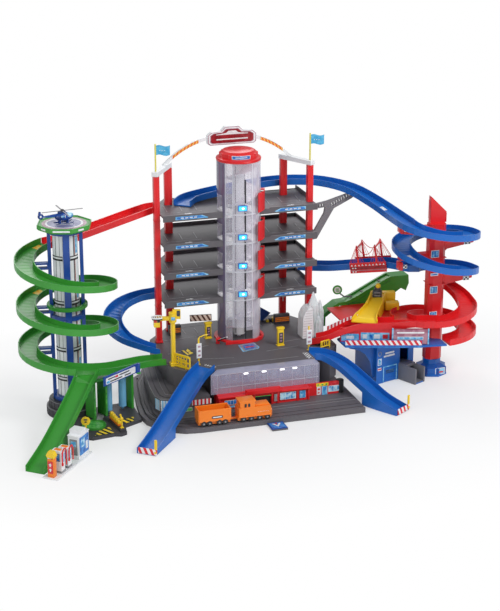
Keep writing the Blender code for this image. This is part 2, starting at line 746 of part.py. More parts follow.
def make_gates():
    for index in range(LEVELS):
        low = level(index) + GAP
        panel = sector(GATE_RADIUS, GATE_RADIUS + WALL, GATE_START, GATE_START + GATE_SPAN,
                       (low, low + GATE_HEIGHT), 6)
        foot = sector(TUBE_RADIUS + RUN_GAP, GATE_RADIUS + 0.002, GATE_START + 0.72 * GATE_SPAN,
                      GATE_START + GATE_SPAN,
                      (low, low + 0.004), 3)
        lip = sector(TUBE_RADIUS + RUN_GAP, GATE_RADIUS + 0.002, GATE_START + 0.80 * GATE_SPAN,
                     GATE_START + GATE_SPAN,
                     (low + GATE_HEIGHT - 0.004, low + GATE_HEIGHT), 3)
        finish(joined(panel, foot, lip), f"lift_gate_{index + 1}", RED, 0.35, origin=(0, 0, low))


def make_arch():
    low, high = COLUMN_TOP + GAP, COLUMN_TOP + GAP + BRACKET_HEIGHT
    pieces = []
    middles = []
    for front, back in (("column_front_left", "column_back_left"),
                        ("column_front_right", "column_back_right")):
        a, b = Vector(COLUMNS[front][:2]), Vector(COLUMNS[back][:2])
        heading = math.degrees(math.atan2(b.y - a.y, b.x - a.x))
        pieces.append(block(a, heading, (b - a).length + 0.024, 0.020, (low, high), -0.012))
        middles.append((a + b) / 2)
        pieces.append(cylinder(a, FLAG_POLE_RADIUS, (high - 0.002, high + FLAG_POLE_HEIGHT), 8))
    left, right = middles
    y = ARCH_PLANE
    centre = (left.x + right.x) / 2
    half = (right.x - left.x) / 2 - 0.004
    base = low + 0.004
    steps = 20
    outer = []
    inner = []
    for i in range(steps + 1):
        share = -1 + 2 * i / steps
        rise = ARCH_RISE * (1 - abs(share) ** 2.4)
        outer.append((centre + half * share, base + rise + ARCH_WIDTH / 2))
        inner.append((centre + half * share, base + rise - ARCH_WIDTH / 2 + 0.003))
    arch = upright(outer + inner[::-1], y - ARCH_DEPTH / 2, y + ARCH_DEPTH / 2)
    board_low = base + ARCH_RISE - 0.5 * BOARD_HEIGHT + 0.002
    w, h = BOARD_WIDTH / 2, BOARD_HEIGHT
    outline = [(-w, 0.10 * h), (-0.9 * w, 0.0), (0.9 * w, 0.0), (w, 0.10 * h), (w, 0.55 * h),
               (0.85 * w, 0.72 * h),
               (0.45 * w, 0.76 * h), (0.28 * w, h), (-0.28 * w, h), (-0.45 * w, 0.76 * h),
               (-0.85 * w, 0.72 * h), (-w, 0.55 * h)]
    board = upright([(centre + BOARD_SHIFT + u, board_low + v) for u, v in outline],
                    y - BOARD_THICKNESS / 2 - 0.002, y + BOARD_THICKNESS / 2)
    finish(joined(arch, board, *pieces), "roof_arch", WHITE, 0.35)


# Tracks that leave the garage
SKY_ROUTE = [(-0.165, 0.070, 0.0055), (-0.125, 0.118, 0.008), (-0.040, 0.140, 0.016),
             (0.060, 0.150, 0.024), (0.150, 0.158, 0.030),
             (0.235, 0.150, 0.031), (0.320, 0.115, 0.028), (0.395, 0.050, 0.014), (0.445, -0.035, -0.012),
             (0.474, -0.120, -0.033)]
BRIDGE_ROUTE = [(0.290, 0.112, 0.024), (0.340, 0.070, 0.031), (0.388, 0.034, 0.041),
                (0.442, -0.006, 0.052), (0.494, -0.042, 0.061)]
LOOP_ROUTE = [(-0.2535, 0.066, -0.001), (-0.310, 0.081, -0.012), (-0.366, 0.071, -0.028),
              (-0.404, 0.036, -0.050),
              (-0.410, -0.010, -0.075), (-0.384, -0.048, -0.100), (-0.338, -0.064, -0.122),
              (-0.2858, -0.066, -0.1442)]


def lifted(route, base):
    return [(x, y, base + z) for x, y, z in route]


TRACK_JOINT = 0.25


def loop_heading(angle):
    """Heading of the right-hand loops at an angle, for a track that climbs anticlockwise."""
    a = math.radians(angle)
    return math.degrees(math.atan2(RIGHT_LOOP_DEPTH * math.cos(a), -math.sin(a)))


def right_track_end():
    """Where the sky track meets the blue spiral."""
    angle, height = BLUE_HEIGHTS[0]
    a = math.radians(angle - TRACK_JOINT)
    return Vector((RIGHT_X + RIGHT_LOOP * math.cos(a),
                   RIGHT_Y + RIGHT_LOOP * RIGHT_LOOP_DEPTH * math.sin(a), height))


def make_tracks():
    sky = smooth_path([*lifted(SKY_ROUTE, TOP_LEVEL), right_track_end()], 4)
    finish(track(sky, end=loop_heading(BLUE_HEIGHTS[0][0] - TRACK_JOINT)), "sky_track", SKY_BLUE, 0.35)
    angle, height = BLUE_HEIGHTS[-1]
    circle_part = []
    for i in range(9):
        a = math.radians(angle - 720 + TRACK_JOINT + i * 7.0)
        circle_part.append(Vector((RIGHT_X + RIGHT_LOOP * math.cos(a),
                                   RIGHT_Y + RIGHT_LOOP * RIGHT_LOOP_DEPTH * math.sin(a), height)))
    start = Vector((FLOOR_RIGHT + 2 * GAP, 0.137, level(0) + 0.023))
    bridge = smooth_path([start, *lifted(BRIDGE_ROUTE, level(0)), *circle_part[::-1]], 3)
    finish(track(bridge, end=loop_heading(angle + TRACK_JOINT) - 180), "bridge_track", SKY_BLUE, 0.35)
    loop = smooth_path(lifted(LOOP_ROUTE, level(0)), 4)
    finish(track(loop, start=180.0, end=0.0), "loop_track", SKY_BLUE, 0.35)
    return sky, bridge


CHUTE_START = (-0.2535, 0.0665)


def make_chute():
    angle, height = LEFT_HEIGHTS[0]
    a = math.radians(angle - 1.2)
    end = Vector((LEFT_X + LEFT_LOOP * math.cos(a), LEFT_Y + LEFT_LOOP * math.sin(a), height))
    start = Vector((*CHUTE_START, TOP_LEVEL))
    tangent = Vector((-math.sin(a), math.cos(a), 0))
    bend = end - tangent * 0.07 + Vector((0, 0, 0.004))
    second = Vector((start.x - 0.035, start.y - 0.003, start.z - 0.004))
    path = smooth_path([start, second, second.lerp(bend, 0.5), bend, end], 4)
    finish(track(path, start=180.0, end=angle + 90.0), "red_chute", RED, 0.35)


def make_truss(sky):
    """A flat Y from the front right column up to the underside of the sky track."""
    x, y, width, depth = COLUMNS["column_front_right"]
    reach = max((p for p in sky if p.x > 0.38), key=lambda p: -abs(p.x - 0.385))
    start = Vector((x + width / 2 + GAP + 0.001, y))
    heading = math.degrees(math.atan2(reach.y - start.y, reach.x - start.x))
    length = math.hypot(reach.x - start.x, reach.y - start.y)
    top = reach.z - PLATE - 0.003
    base = TOP_LEVEL - 0.012
    outline = [(0, base - 0.014), (0, base), (0.055, base + 0.004), (length - 0.012, top),
               (length + 0.012, top),
               (length + 0.012, top - 0.012), (length - 0.004, top - 0.014), (0.075, base - 0.016),
               (0.060, base - 0.040), (0.012, base - 0.116),
               (0, base - 0.116), (0, base - 0.094), (0.046, base - 0.030), (0.050, base - 0.014)]
    turn = Matrix.Translation((start.x, start.y, 0)) @ Matrix.Rotation(math.radians(heading), 4, "Z")
    finish(upright(outline, -0.003, 0.003, turn), "sky_truss", DARK_GREY, 0.4)


SPAN_LENGTH = 0.122
SPAN_SHIFT = 0.014
SPAN_DROP = 0.014
SPAN_TOWER = 0.092


def make_span(bridge):
    """Side girders, a plate below the track and two portals, with a leg down to the hill."""
    first = Vector(BRIDGE_ROUTE[2])
    last = Vector(BRIDGE_ROUTE[4])
    heading = math.degrees(math.atan2(last.y - first.y, last.x - first.x))
    climb = math.atan2(last.z - first.z, (last - first).xy.length)
    first = first + (last - first).normalized() * SPAN_SHIFT
    low = -SPAN_DROP
    wide = TRACK_WIDTH + 2 * RIM_WALL + 0.014
    plate = slab((0.002, SPAN_LENGTH - 0.002), (-wide / 2, wide / 2), (-PLATE - 0.005, -PLATE - 2 * GAP))
    pieces = []
    for side in (-1, 1):
        pieces.append(slab((0, SPAN_LENGTH), (side * wide / 2 - WALL / 2, side * wide / 2 + WALL / 2),
                           (low, low + 0.034)))
        for at in (0.25, 0.75):
            x = SPAN_LENGTH * at
            post = [(x - 0.004, low + 0.02), (x + 0.004, low + 0.02), (x + 0.0015, low + SPAN_TOWER),
                    (x - 0.0015, low + SPAN_TOWER)]
            pieces.append(upright(post, side * wide / 2 - WALL / 2 - 0.0004,
                                  side * wide / 2 + WALL / 2 + 0.0004))
    for at in (0.25, 0.75):
        x = SPAN_LENGTH * at
        pieces.append(slab((x - 0.0012, x + 0.0012), (-wide / 2, wide / 2),
                           (low + SPAN_TOWER - 0.012, low + SPAN_TOWER - 0.006)))
    span = joined(plate, *pieces)
    span.data.transform(heading_frame((first.x, first.y, level(0) + first.z),
                                      heading) @ Matrix.Rotation(-climb, 4, "Y"))
    finish(span, "bridge_span", RED, 0.35)


# Left tower
def make_left_base():
    step = FOOT_HEIGHT * 0.5
    foot = turned([(0.0, 0.0), (FOOT_RADIUS, 0.0), (FOOT_RADIUS, step),
                   (FOOT_RADIUS - FOOT_STEP, step + 0.003),
                   (FOOT_RADIUS - FOOT_STEP, FOOT_HEIGHT - 0.003),
                   (FOOT_RADIUS - FOOT_STEP - 0.003, FOOT_HEIGHT), (0.0, FOOT_HEIGHT)],
                  (LEFT_X, LEFT_Y), 32)
    plate = prism(WASH_PLATE, 0.0, WASH_PLATE_TOP)
    well = cylinder(TURNTABLE_CENTRE, TURNTABLE_RADIUS + RUN_GAP,
                    (WASH_PLATE_TOP - 0.003, WASH_PLATE_TOP + 0.01), 28)
    divider = block((-0.477, -0.396), 99.0, 0.100, 0.018, (WASH_PLATE_TOP - 0.001, WASH_PLATE_TOP + 0.006))
    finish(joined(cut(plate, well), foot, divider), "left_base", DARK_GREY, 0.5)


WASH_PLATE = [(-0.612, -0.228), (-0.622, -0.330), (-0.598, -0.398), (-0.572, -0.414), (-0.505, -0.404),
              (-0.486, -0.410), (-0.468, -0.402),
              (-0.462, -0.352), (-0.4035, -0.322), (-0.4035, -0.176), (-0.545, -0.196)]
WASH_PLATE_TOP = 0.010
TURNTABLE_CENTRE = (-0.551, -0.330)
TURNTABLE_RADIUS = 0.036
WASH_CORNER = (-0.5490, -0.2635)
WASH_HEADING = 21.0
WASH_LENGTH = 0.145
WASH_DEPTH = 0.046
WASH_WALL = 0.008
WASH_TOP = 0.136
ROLLER_RADIUS = 0.012
ROLLERS = {"wash_roller_1": 0.067, "wash_roller_2": 0.118}


def make_left_tower():
    low = FOOT_HEIGHT + GAP
    pad_low = HELIPAD_TOP - HELIPAD_THICKNESS
    centre = (LEFT_X, LEFT_Y)
    shaft = turned([(0.0, low), (LEFT_SHAFT_RADIUS, low), (LEFT_SHAFT_RADIUS, pad_low - GAP),
                    (0.0, pad_low - GAP)], centre, 16, turn=11.25)
    finish(shaft, "left_shaft", CLEAR, 0.2)
    pieces = []
    inner = LEFT_SHAFT_RADIUS + GAP + 0.0012
    for z in (low, 0.306, pad_low - GAP - 0.012):
        pieces.append(turned([(inner, z), (POST_RING + 0.003, z), (POST_RING + 0.003, z + 0.012),
                              (inner, z + 0.012)], centre, 24, closed=True))
    for i in range(4):
        pieces.append(block(centre, -97.0 + 90 * i, POST_DEPTH, POST_WIDTH,
                            (low + 0.0005, pad_low - GAP - 0.0005), POST_RING - POST_DEPTH / 2))
    reach = LEFT_LOOP - TRACK_WIDTH / 2 - RIM_WALL - GAP
    for turn in range(3):
        angle = 171 + 360 * turn
        z = height_at(LEFT_HEIGHTS, angle)
        arm = block(centre, 171.0, reach - POST_RING + 0.0029, 0.020, (z - 0.016, z + 0.004),
                    POST_RING - 0.004)
        slot = block(centre, 171.0, reach - POST_RING - 0.016, 0.03, (z - 0.011, z - 0.001),
                     POST_RING + 0.008)
        pieces.append(cut(arm, slot))
    ring_post = pieces.pop(0)
    finish(joined(ring_post, *pieces), "left_frame", BLUE, 0.35)
    pad = turned([(0.0, pad_low), (HELIPAD_RADIUS - 0.006, pad_low), (HELIPAD_RADIUS, pad_low + 0.005),
                  (HELIPAD_RADIUS, HELIPAD_TOP),
                  (HELIPAD_RADIUS - 0.004, HELIPAD_TOP), (HELIPAD_RADIUS - 0.006, HELIPAD_TOP - 0.001),
                  (0.0, HELIPAD_TOP - 0.001)], centre, 8, turn=5.0)
    finish(pad, "helipad", GREEN, 0.35)
    path = spiral_path(centre, LEFT_LOOP, LEFT_HEIGHTS)
    finish(track(path), "green_spiral", GREEN, 0.35)


EXIT_ROUTE = [(-0.590, -0.2975, 0.176), (-0.540, -0.2960, 0.169), (-0.480, -0.277, 0.160),
              (-0.415, -0.238, 0.150), (-0.350, -0.196, 0.138),
              (-0.2898, -0.158, 0.1215)]
GREEN_RAMP_ROUTE = [(-0.566, -0.3245, 0.1712), (-0.583, -0.348, 0.157), (-0.615, -0.388, 0.124),
                    (-0.660, -0.443, 0.082), (-0.715, -0.512, 0.037),
                    (-0.774, -0.583, 0.0015)]
RAMP_MOUTH = 0.066


def make_green_exit():
    """The road from the spiral to the deck, with the long ramp that leaves it through a gap in its rim."""
    angle, height = LEFT_HEIGHTS[-1]
    a = math.radians(angle + TRACK_JOINT)
    start = Vector((LEFT_X + LEFT_LOOP * math.cos(a), LEFT_Y + LEFT_LOOP * math.sin(a), height))
    road_path = smooth_path([start, *EXIT_ROUTE], 3)
    road = track(road_path, start=angle + 90.0 + TRACK_JOINT - 720.0, end=0.0)
    ramp_path = smooth_path(GREEN_RAMP_ROUTE, 4)
    # The first cross-section lies along the road's rim, so the ones right behind it are left out
    del ramp_path[1:4]
    skirt = len(ramp_path) - 7
    widths = [RAMP_MOUTH] + [RAMP_WIDTH] * (len(ramp_path) - 1)
    sections = [gutter(w, below=p.z if i >= skirt else PLATE) for i,
                (w, p) in enumerate(zip(widths, ramp_path))]
    ramp = swept(ramp_path, sections, start=-90.0)
    x, y, z = GREEN_RAMP_ROUTE[0]
    half = RAMP_MOUTH / 2 - 0.0005
    gap = upright([(x - half, z + 0.006), (x + half, z - 0.0015), (x + half, z + 0.03),
                   (x - half, z + 0.03)], y - 0.008, y + 0.004)
    lug = slab((DIVERTER_PIVOT[0] - 0.006, DIVERTER_PIVOT[0] + 0.006),
               (DIVERTER_PIVOT[1] - 0.006, DIVERTER_PIVOT[1] + 0.030),
               (DIVERTER_LOW - GAP - 0.005, DIVERTER_LOW - GAP))
    finish(joined(cut(road, gap), ramp, lug), "green_exit", GREEN, 0.35)


def wash_point(distance, across=0.0):
    return along(WASH_CORNER, WASH_HEADING, distance, -across)


def make_wash():
    top = WASH_TOP
    low = WASH_PLATE_TOP + GAP
    wash = slab((0, WASH_LENGTH), (-WASH_DEPTH / 2, WASH_DEPTH / 2), (top - 0.010, top))
    pieces = []
    for x in (0.0005, 0.042, WASH_LENGTH - WASH_WALL - 0.0005):
        pieces.append(slab((x, x + WASH_WALL), (-WASH_DEPTH / 2 + 0.0005, WASH_DEPTH / 2 - 0.0005),
                           (low, top - 0.005)))
    wash = joined(wash, *pieces)
    wash.data.transform(heading_frame((*WASH_CORNER, 0), WASH_HEADING))
    finish(wash, "wash_building", GREEN, 0.35)
    for name, distance in ROLLERS.items():
        centre = wash_point(distance)
        z0, z1 = low, top - 0.010 - GAP
        roller = turned([(0.0, z0), (0.004, z0), (0.004, z0 + 0.006), (ROLLER_RADIUS, z0 + 0.008),
                         (ROLLER_RADIUS, z1 - 0.008),
                         (0.004, z1 - 0.006), (0.004, z1), (0.0, z1)], centre, 16)
        finish(roller, name, SKY_BLUE, 0.6, origin=(centre[0], centre[1], z0))


def make_turntable():
    low = WASH_PLATE_TOP - 0.003 + GAP
    disc = cylinder(TURNTABLE_CENTRE, TURNTABLE_RADIUS, (low, WASH_PLATE_TOP + 0.003), 28)
    stop = block(TURNTABLE_CENTRE, 60.0, 0.004, 0.030, (WASH_PLATE_TOP + 0.002, WASH_PLATE_TOP + 0.006),
                 TURNTABLE_RADIUS - 0.008)
    finish(joined(disc, stop), "turntable", GREEN, 0.4, origin=(*TURNTABLE_CENTRE, low))


DIVERTER_PIVOT = (-0.4035, -0.2900)
DIVERTER_HEADING = 214.5
DIVERTER_LENGTH = 0.150
DIVERTER_LOW = 0.150
DIVERTER_HEIGHT = 0.026


def make_diverter():
    pivot = DIVERTER_PIVOT
    arm = block(pivot, DIVERTER_HEADING, DIVERTER_LENGTH, 0.005,
                (DIVERTER_LOW, DIVERTER_LOW + DIVERTER_HEIGHT))
    hub = cylinder(pivot, 0.006, (DIVERTER_LOW, DIVERTER_LOW + DIVERTER_HEIGHT), 12)
    finish(joined(hub, arm), "diverter", BLUE, 0.35, origin=(*pivot, DIVERTER_LOW))


def ellipsoid(centre, size, steps=14, rows=8):
    profile = [(math.cos(math.pi * (i / rows - 0.5)),
                math.sin(math.pi * (i / rows - 0.5))) for i in range(rows + 1)]
    profile[0] = (0.0, -1.0)
    profile[-1] = (0.0, 1.0)
    obj = turned(profile, steps=steps)
    obj.data.transform(Matrix.Translation(Vector(centre)) @ Matrix.Diagonal((*size, 1)))
    return obj


def make_helicopter():
    ground = HELIPAD_TOP - 0.001 + GAP
    heading = 186.0
    pieces = [ellipsoid((0.004, 0, 0.020), (0.028, 0.012, 0.013))]
    boom = [(-0.015, 0.020), (-0.062, 0.0235), (-0.062, 0.0265), (-0.010, 0.031)]
    pieces.append(upright(boom, -0.002, 0.002))
    fin = [(-0.070, 0.019), (-0.064, 0.019), (-0.058, 0.026), (-0.066, 0.038), (-0.073, 0.038)]
    pieces.append(upright(fin, -0.0014, 0.0014))
    for side in (-1, 1):
        pieces.append(slab((-0.020, 0.026), (side * 0.011 - 0.001, side * 0.011 + 0.001), (0.0, 0.0022)))
        for x in (-0.010, 0.014):
            strut = slab((x - 0.001, x + 0.001),
                         (min(side * 0.011, side * 0.002), max(side * 0.011, side * 0.002)),
                         (0.0005, 0.012))
            pieces.append(strut)
    pieces.append(cylinder((0, 0), 0.003, (0.028, 0.036), 10))
    body = joined(*pieces)
    place = Matrix.Translation((LEFT_X - 0.004, LEFT_Y,
                                ground)) @ Matrix.Rotation(math.radians(heading + 180), 4, "Z")
    body.data.transform(place)
    finish(body, "helicopter", BLUE, 0.3)
    hub = Vector((LEFT_X - 0.004, LEFT_Y, ground + 0.036 + GAP))
    blades = [cylinder((0, 0), 0.005, (0.0, 0.004), 12)]
    for i in range(2):
        blades.append(block((0, 0), 90 * i + 6, 2 * ROTOR_RADIUS, 0.004, (0.0012, 0.0026), -ROTOR_RADIUS))
    rotor = joined(*blades)
    rotor.data.transform(Matrix.Translation(hub))
    finish(rotor, "rotor", DARK_GREY, 0.4, origin=hub)


FUEL_START = (-0.742, -0.638)
FUEL_HEADING = 50.0


def make_fuel():
    base = block(FUEL_START, FUEL_HEADING, 0.205, 0.046, (0.0, 0.004))
    sign = block(FUEL_START, FUEL_HEADING, 0.016, 0.018, (0.003, 0.062), 0.006)
    pump = block(FUEL_START, FUEL_HEADING, 0.020, 0.030, (0.003, 0.070), 0.040)
    second = block(FUEL_START, FUEL_HEADING, 0.020, 0.030, (0.003, 0.064), 0.078)
    charger = block(FUEL_START, FUEL_HEADING, 0.060, 0.034, (0.003, 0.074), 0.138)
    screen = block(FUEL_START, FUEL_HEADING, 0.030, 0.036, (0.003, 0.088), 0.150)
    finish(joined(base, sign, pump, second, charger, screen), "fuel_station", WHITE, 0.4)


# Right tower
def make_right_tower():
    centre = (RIGHT_X, RIGHT_Y)
    r, h = RIGHT_FOOT_RADIUS, RIGHT_FOOT_HEIGHT
    foot = turned([(0.0, 0.0), (r + 0.003, 0.0), (r + 0.003, 0.006), (r, 0.008), (r, h - 0.010),
                   (0.62 * r, h), (0.62 * r, h + 0.016), (0.0, h + 0.016)],
                  centre, 8, turn=22.5 - 17.5)
    finish(foot, "right_foot", BLUE, 0.35)
    low = h + 0.016 + GAP
    x, y = centre
    w, d = MAST_WIDTH / 2, MAST_DEPTH / 2
    c = 0.012
    column = prism([(x - w + c, y - d), (x + w - c, y - d), (x + w, y - d + c), (x + w, y + d - c),
                    (x + w - c, y + d),
                    (x - w + c, y + d), (x - w, y + d - c), (x - w, y - d + c)], low, MAST_TOP - 0.036)
    fin = upright([(x - 0.024, MAST_TOP - 0.04), (x + 0.026, MAST_TOP - 0.04), (x + 0.030, MAST_TOP),
                   (x - 0.024, FIN_TOP)], y - 0.006, y + 0.010)
    pieces = [fin]
    reach = RIGHT_LOOP + 0.012
    left_arms = ((200, 0), (540, 0))
    for angle, _ in left_arms:
        z = height_at(BLUE_HEIGHTS, angle if angle > 200 else 201) - PLATE - GAP
        z = min(z, min(height_at(BLUE_HEIGHTS, a) for a in range(angle, angle + 16)) - PLATE - GAP)
        pieces.append(upright([(x - reach, z - 0.016), (x - 0.034, z - 0.030), (x, z - 0.060), (x, z),
                               (x - reach, z)], y - 0.012, y + 0.012))
    for angle in (360, 720):
        z = min(height_at(BLUE_HEIGHTS, a) for a in range(angle - 12, angle + 13)) - PLATE - GAP
        pieces.append(upright([(x, z - 0.060), (x + 0.034, z - 0.030), (x + reach, z - 0.016),
                               (x + reach, z), (x, z)], y - 0.012, y + 0.012))
    finish(joined(column, *pieces), "right_mast", RED, 0.35)
    blue = spiral_path(centre, RIGHT_LOOP, BLUE_HEIGHTS, RIGHT_LOOP_DEPTH)
    finish(track(blue), "blue_spiral", SKY_BLUE, 0.35)
    red = spiral_path(centre, RIGHT_LOOP, RED_HEIGHTS, RIGHT_LOOP_DEPTH)
    spiral = track(red)
    road_path = smooth_path([(RIGHT_X - 0.030, RIGHT_Y - RIGHT_LOOP * RIGHT_LOOP_DEPTH + 0.002, 0.2020),
                             *ROAD_ROUTE], 3)
    road = track(road_path, ROAD_WIDTH)
    inside = lane(road_path, ROAD_WIDTH)
    spiral_lane = lane(red[15:33])
    return cut(spiral, inside), cut(road, spiral_lane)


ROAD_WIDTH = 0.056
ROAD_ROUTE = [(0.515, -0.268, 0.1985), (0.455, -0.239, 0.190), (0.390, -0.2135, 0.186),
              (0.335, -0.195, 0.184), (0.288, -0.182, 0.168),
              (0.240, -0.158, 0.140), (0.206, -0.132, 0.1252)]
PLATFORM = [(0.300, -0.165), (0.300, -0.004), (0.352, -0.004), (0.352, 0.050), (0.500, 0.050),
            (0.500, -0.110), (0.480, -0.220), (0.380, -0.190)]
ROAD_SKIRT = [(0.274, -0.2000), (0.332, -0.2225), (0.470, -0.2720), (0.470, -0.2680), (0.332, -0.2185),
              (0.274, -0.1960)]
LEDGE = [(0.274, -0.2400), (0.505, -0.3130), (0.584, -0.3240), (0.584, -0.2710), (0.545, -0.2500),
         (0.470, -0.2000), (0.310, -0.1500), (0.274, -0.1700)]
RESCUE_BODY = [(0.377, -0.254), (0.460, -0.2290), (0.522, -0.2075), (0.522, -0.070), (0.376, -0.070)]
RESCUE_FACE = math.degrees(math.atan2(RESCUE_BODY[1][1] - RESCUE_BODY[0][1],
                                      RESCUE_BODY[1][0] - RESCUE_BODY[0][0]))
LAUNCHER_HEADING = -64.0
LAUNCHER_START = (0.480, -0.212)


def make_platform(spiral, road):
    plate = prism(PLATFORM, PLATFORM_TOP - 0.006, PLATFORM_TOP - 0.001)
    leg = slab((0.405, 0.425), (-0.100, -0.080), (LEDGE_TOP + GAP, PLATFORM_TOP - 0.003))
    skirt = prism(ROAD_SKIRT, LEDGE_TOP + GAP, PLATFORM_TOP - 0.001)
    finish(joined(spiral, road, plate, leg, skirt), "red_spiral", RED, 0.35)


def make_rescue():
    top = LEDGE_TOP
    body = prism(RESCUE_BODY, 0.0, top - 0.001)
    ledge = prism(LEDGE, top - 0.006, top)
    heading = math.degrees(math.atan2(LEDGE[1][1] - LEDGE[0][1], LEDGE[1][0] - LEDGE[0][0]))
    length = math.dist(LEDGE[0], LEDGE[1])
    parapet = slab((0.0, length), (0.0002, WALL), (top - 0.005, top + 0.018))
    parapet.data.transform(heading_frame((*LEDGE[0], 0), heading))
    hollow = prism(inset(RESCUE_BODY, PLATE), -0.01, top - 0.010)
    arch = [(0.379, 0.020), (0.379, top - 0.004), (0.292, top - 0.004), (0.292, top - 0.014),
            (0.322, top - 0.022), (0.346, top - 0.040), (0.362, top - 0.066), (0.370, 0.020)]
    brace = upright(arch, -0.236, -0.222)
    bay = block(LAUNCHER_START, LAUNCHER_HEADING, 0.080, RESCUE_BAY, (-0.01, 0.108))
    door = slab((GARAGE_DOOR[0], GARAGE_DOOR[1]), (-0.02, 0.02), (-0.01, GARAGE_DOOR_TOP))
    door.data.transform(heading_frame((*RESCUE_BODY[0], 0), RESCUE_FACE))
    shell = cut(body, hollow)
    shell = cut(shell, bay, door)
    wide = RESCUE_BAY + 0.008
    launcher = block(LAUNCHER_START, LAUNCHER_HEADING, 0.098, wide, (0.0, 0.050), -0.020)
    groove = block(LAUNCHER_START, LAUNCHER_HEADING, 0.130, RESCUE_BAY, (0.004, 0.06), -0.040)
    launcher = cut(launcher, groove)
    finish(joined(shell, ledge, parapet, brace, launcher), "rescue_building", BLUE, 0.35)
    thick = 0.0025
    leaf = slab((GARAGE_DOOR[0] + GAP, GARAGE_DOOR[1] - GAP), (0.0004, 0.0004 + thick),
                (0.001, GARAGE_DOOR_TOP - 2 * GAP))
    leaf.data.transform(heading_frame((*RESCUE_BODY[0], 0), RESCUE_FACE))
    hinge = along(RESCUE_BODY[0], RESCUE_FACE, (GARAGE_DOOR[0] + GARAGE_DOOR[1]) / 2, -0.0004 - thick / 2)
    finish(leaf, "garage_door", BLUE, 0.35, origin=(*hinge, GARAGE_DOOR_TOP - 2 * GAP - thick / 2))


RESCUE_BAY = 0.036
GARAGE_DOOR = (0.030, 0.080)
GARAGE_DOOR_TOP = 0.050


CHUTE_OVER_RIM = -0.148


def make_rescue_extras():
    """The slide, the hill with its track and the crystal rock."""
    base = PLATFORM_TOP - 0.001
    path = smooth_path([(0.457, -0.055, 0.232), (0.436, -0.092, 0.226), (0.410, -0.128, 0.2145),
                        (0.384, -0.160, 0.2080),
                        (0.362, -0.190, 0.2066), (0.352, -0.205, 0.1960)], 3)
    widths = [0.042 + 0.036 * (i / (len(path) - 1)) ** 2 for i in range(len(path))]
    sections = [gutter(w, rim=0.010, below=p.z - base - GAP if p.y > CHUTE_OVER_RIM else WALL) for w,
                p in zip(widths, path)]
    finish(swept(path, sections), "yellow_chute", YELLOW, 0.35)
    low = base + GAP
    deck = DECK_TOP + GAP
    outline = [(0.2535, deck), (0.2965, deck), (0.2965, 0.150), (0.334, 0.178), (0.346, low),
               (0.500, low), (0.560, 0.225), (0.578, 0.215), (0.588, 0.240), (0.586, 0.268),
               (0.522, 0.268),
               (0.470, 0.243), (0.400, 0.208), (0.368, 0.195), (0.337, 0.193), (0.300, 0.168),
               (0.2535, 0.132)]
    hill = upright(outline, 0.000, 0.048)
    groove = upright([(0.384, 0.1975), (0.400, 0.202), (0.470, 0.238), (0.522, 0.262), (0.522, 0.290),
                      (0.384, 0.290)], 0.008, 0.040)
    finish(cut(hill, groove), "green_hill", GREEN, 0.5)
    low = DECK_TOP + GAP
    crystals = []
    for x, y, size, height, lean in ((0.229, -0.064, 0.022, 0.146, 0.002),
                                     (0.203, -0.064, 0.018, 0.098, -0.006),
                                     (0.251, -0.062, 0.016, 0.116, 0.004),
                                     (0.240, -0.082, 0.014, 0.070, 0.004),
                                     (0.214, -0.082, 0.013, 0.052, -0.003)):
        shape = turned([(0.0, low), (size, low), (0.85 * size, low + 0.7 * height), (0.0, low + height)],
                       (0, 0), 6, turn=10 + 500 * size)
        shape.data.transform(Matrix.Translation((x, y, 0)) @ Matrix.Translation((0, 0,
            low)) @ Matrix(((1, 0, lean / height, 0), (0, 1, 0, 0), (0, 0, 1, 0),
                            (0, 0, 0, 1))) @ Matrix.Translation((0, 0, -low)))
        crystals.append(shape)
    finish(joined(*crystals), "crystal_rock", WHITE, 0.2)


# Crane on the deck
CRANE = (-0.271, -0.1975)
CRANE_TOP = 0.262


def make_crane():
    x, y = CRANE
    low = DECK_TOP + GAP
    post = slab((x - 0.006, x + 0.006), (y - 0.006, y + 0.006), (low, CRANE_TOP))
    foot = slab((x - 0.009, x + 0.010), (y - 0.009, y + 0.010), (low, low + 0.006))
    far = (x, y)
    fence = block(far, -54.0, 0.066, 0.002, (low, low + 0.042))
    slots = []
    for i in range(5):
        slots.append(block(far, -54.0, 0.008, 0.01, (low + 0.006, low + 0.017), 0.012 + 0.0105 * i))
        slots.append(block(far, -54.0, 0.008, 0.01, (low + 0.022, low + 0.035), 0.012 + 0.0105 * i))
    finish(joined(post, foot, cut(fence, *slots)), "crane_post", YELLOW, 0.35)
    z = CRANE_TOP + GAP
    head = cylinder((x, y), 0.012, (z, z + 0.030), 12)
    boom = block((x, y), 172.0, 0.052, 0.008, (z + 0.006, z + 0.018), 0.0)
    bucket = block((x, y), 172.0, 0.018, 0.020, (z - 0.012, z + 0.014), 0.040)
    wing = block((x, y), -20.0, 0.024, 0.006, (z + 0.010, z + 0.040), 0.0)
    finish(joined(head, boom, bucket, wing), "crane_arm", YELLOW, 0.35, origin=(x, y, z))


# Train on the front straight
def bogie(x0, length, low):
    middle = PLINTH_FRONT + TRACK_INSET + TRACK_PITCH / 2
    wheels = []
    for share in (0.18, 0.82):
        axle = x0 + length * share
        for side in (-1, 1):
            y = middle + side * TRACK_PITCH / 2
            wheel = cylinder((0, 0), 0.008, (-0.002, 0.002), 14)
            wheel.data.transform(Matrix.Translation((axle, y,
                                                     low + 0.008)) @ Matrix.Rotation(math.pi / 2, 4, "X"))
            wheels.append(wheel)
    return middle, wheels


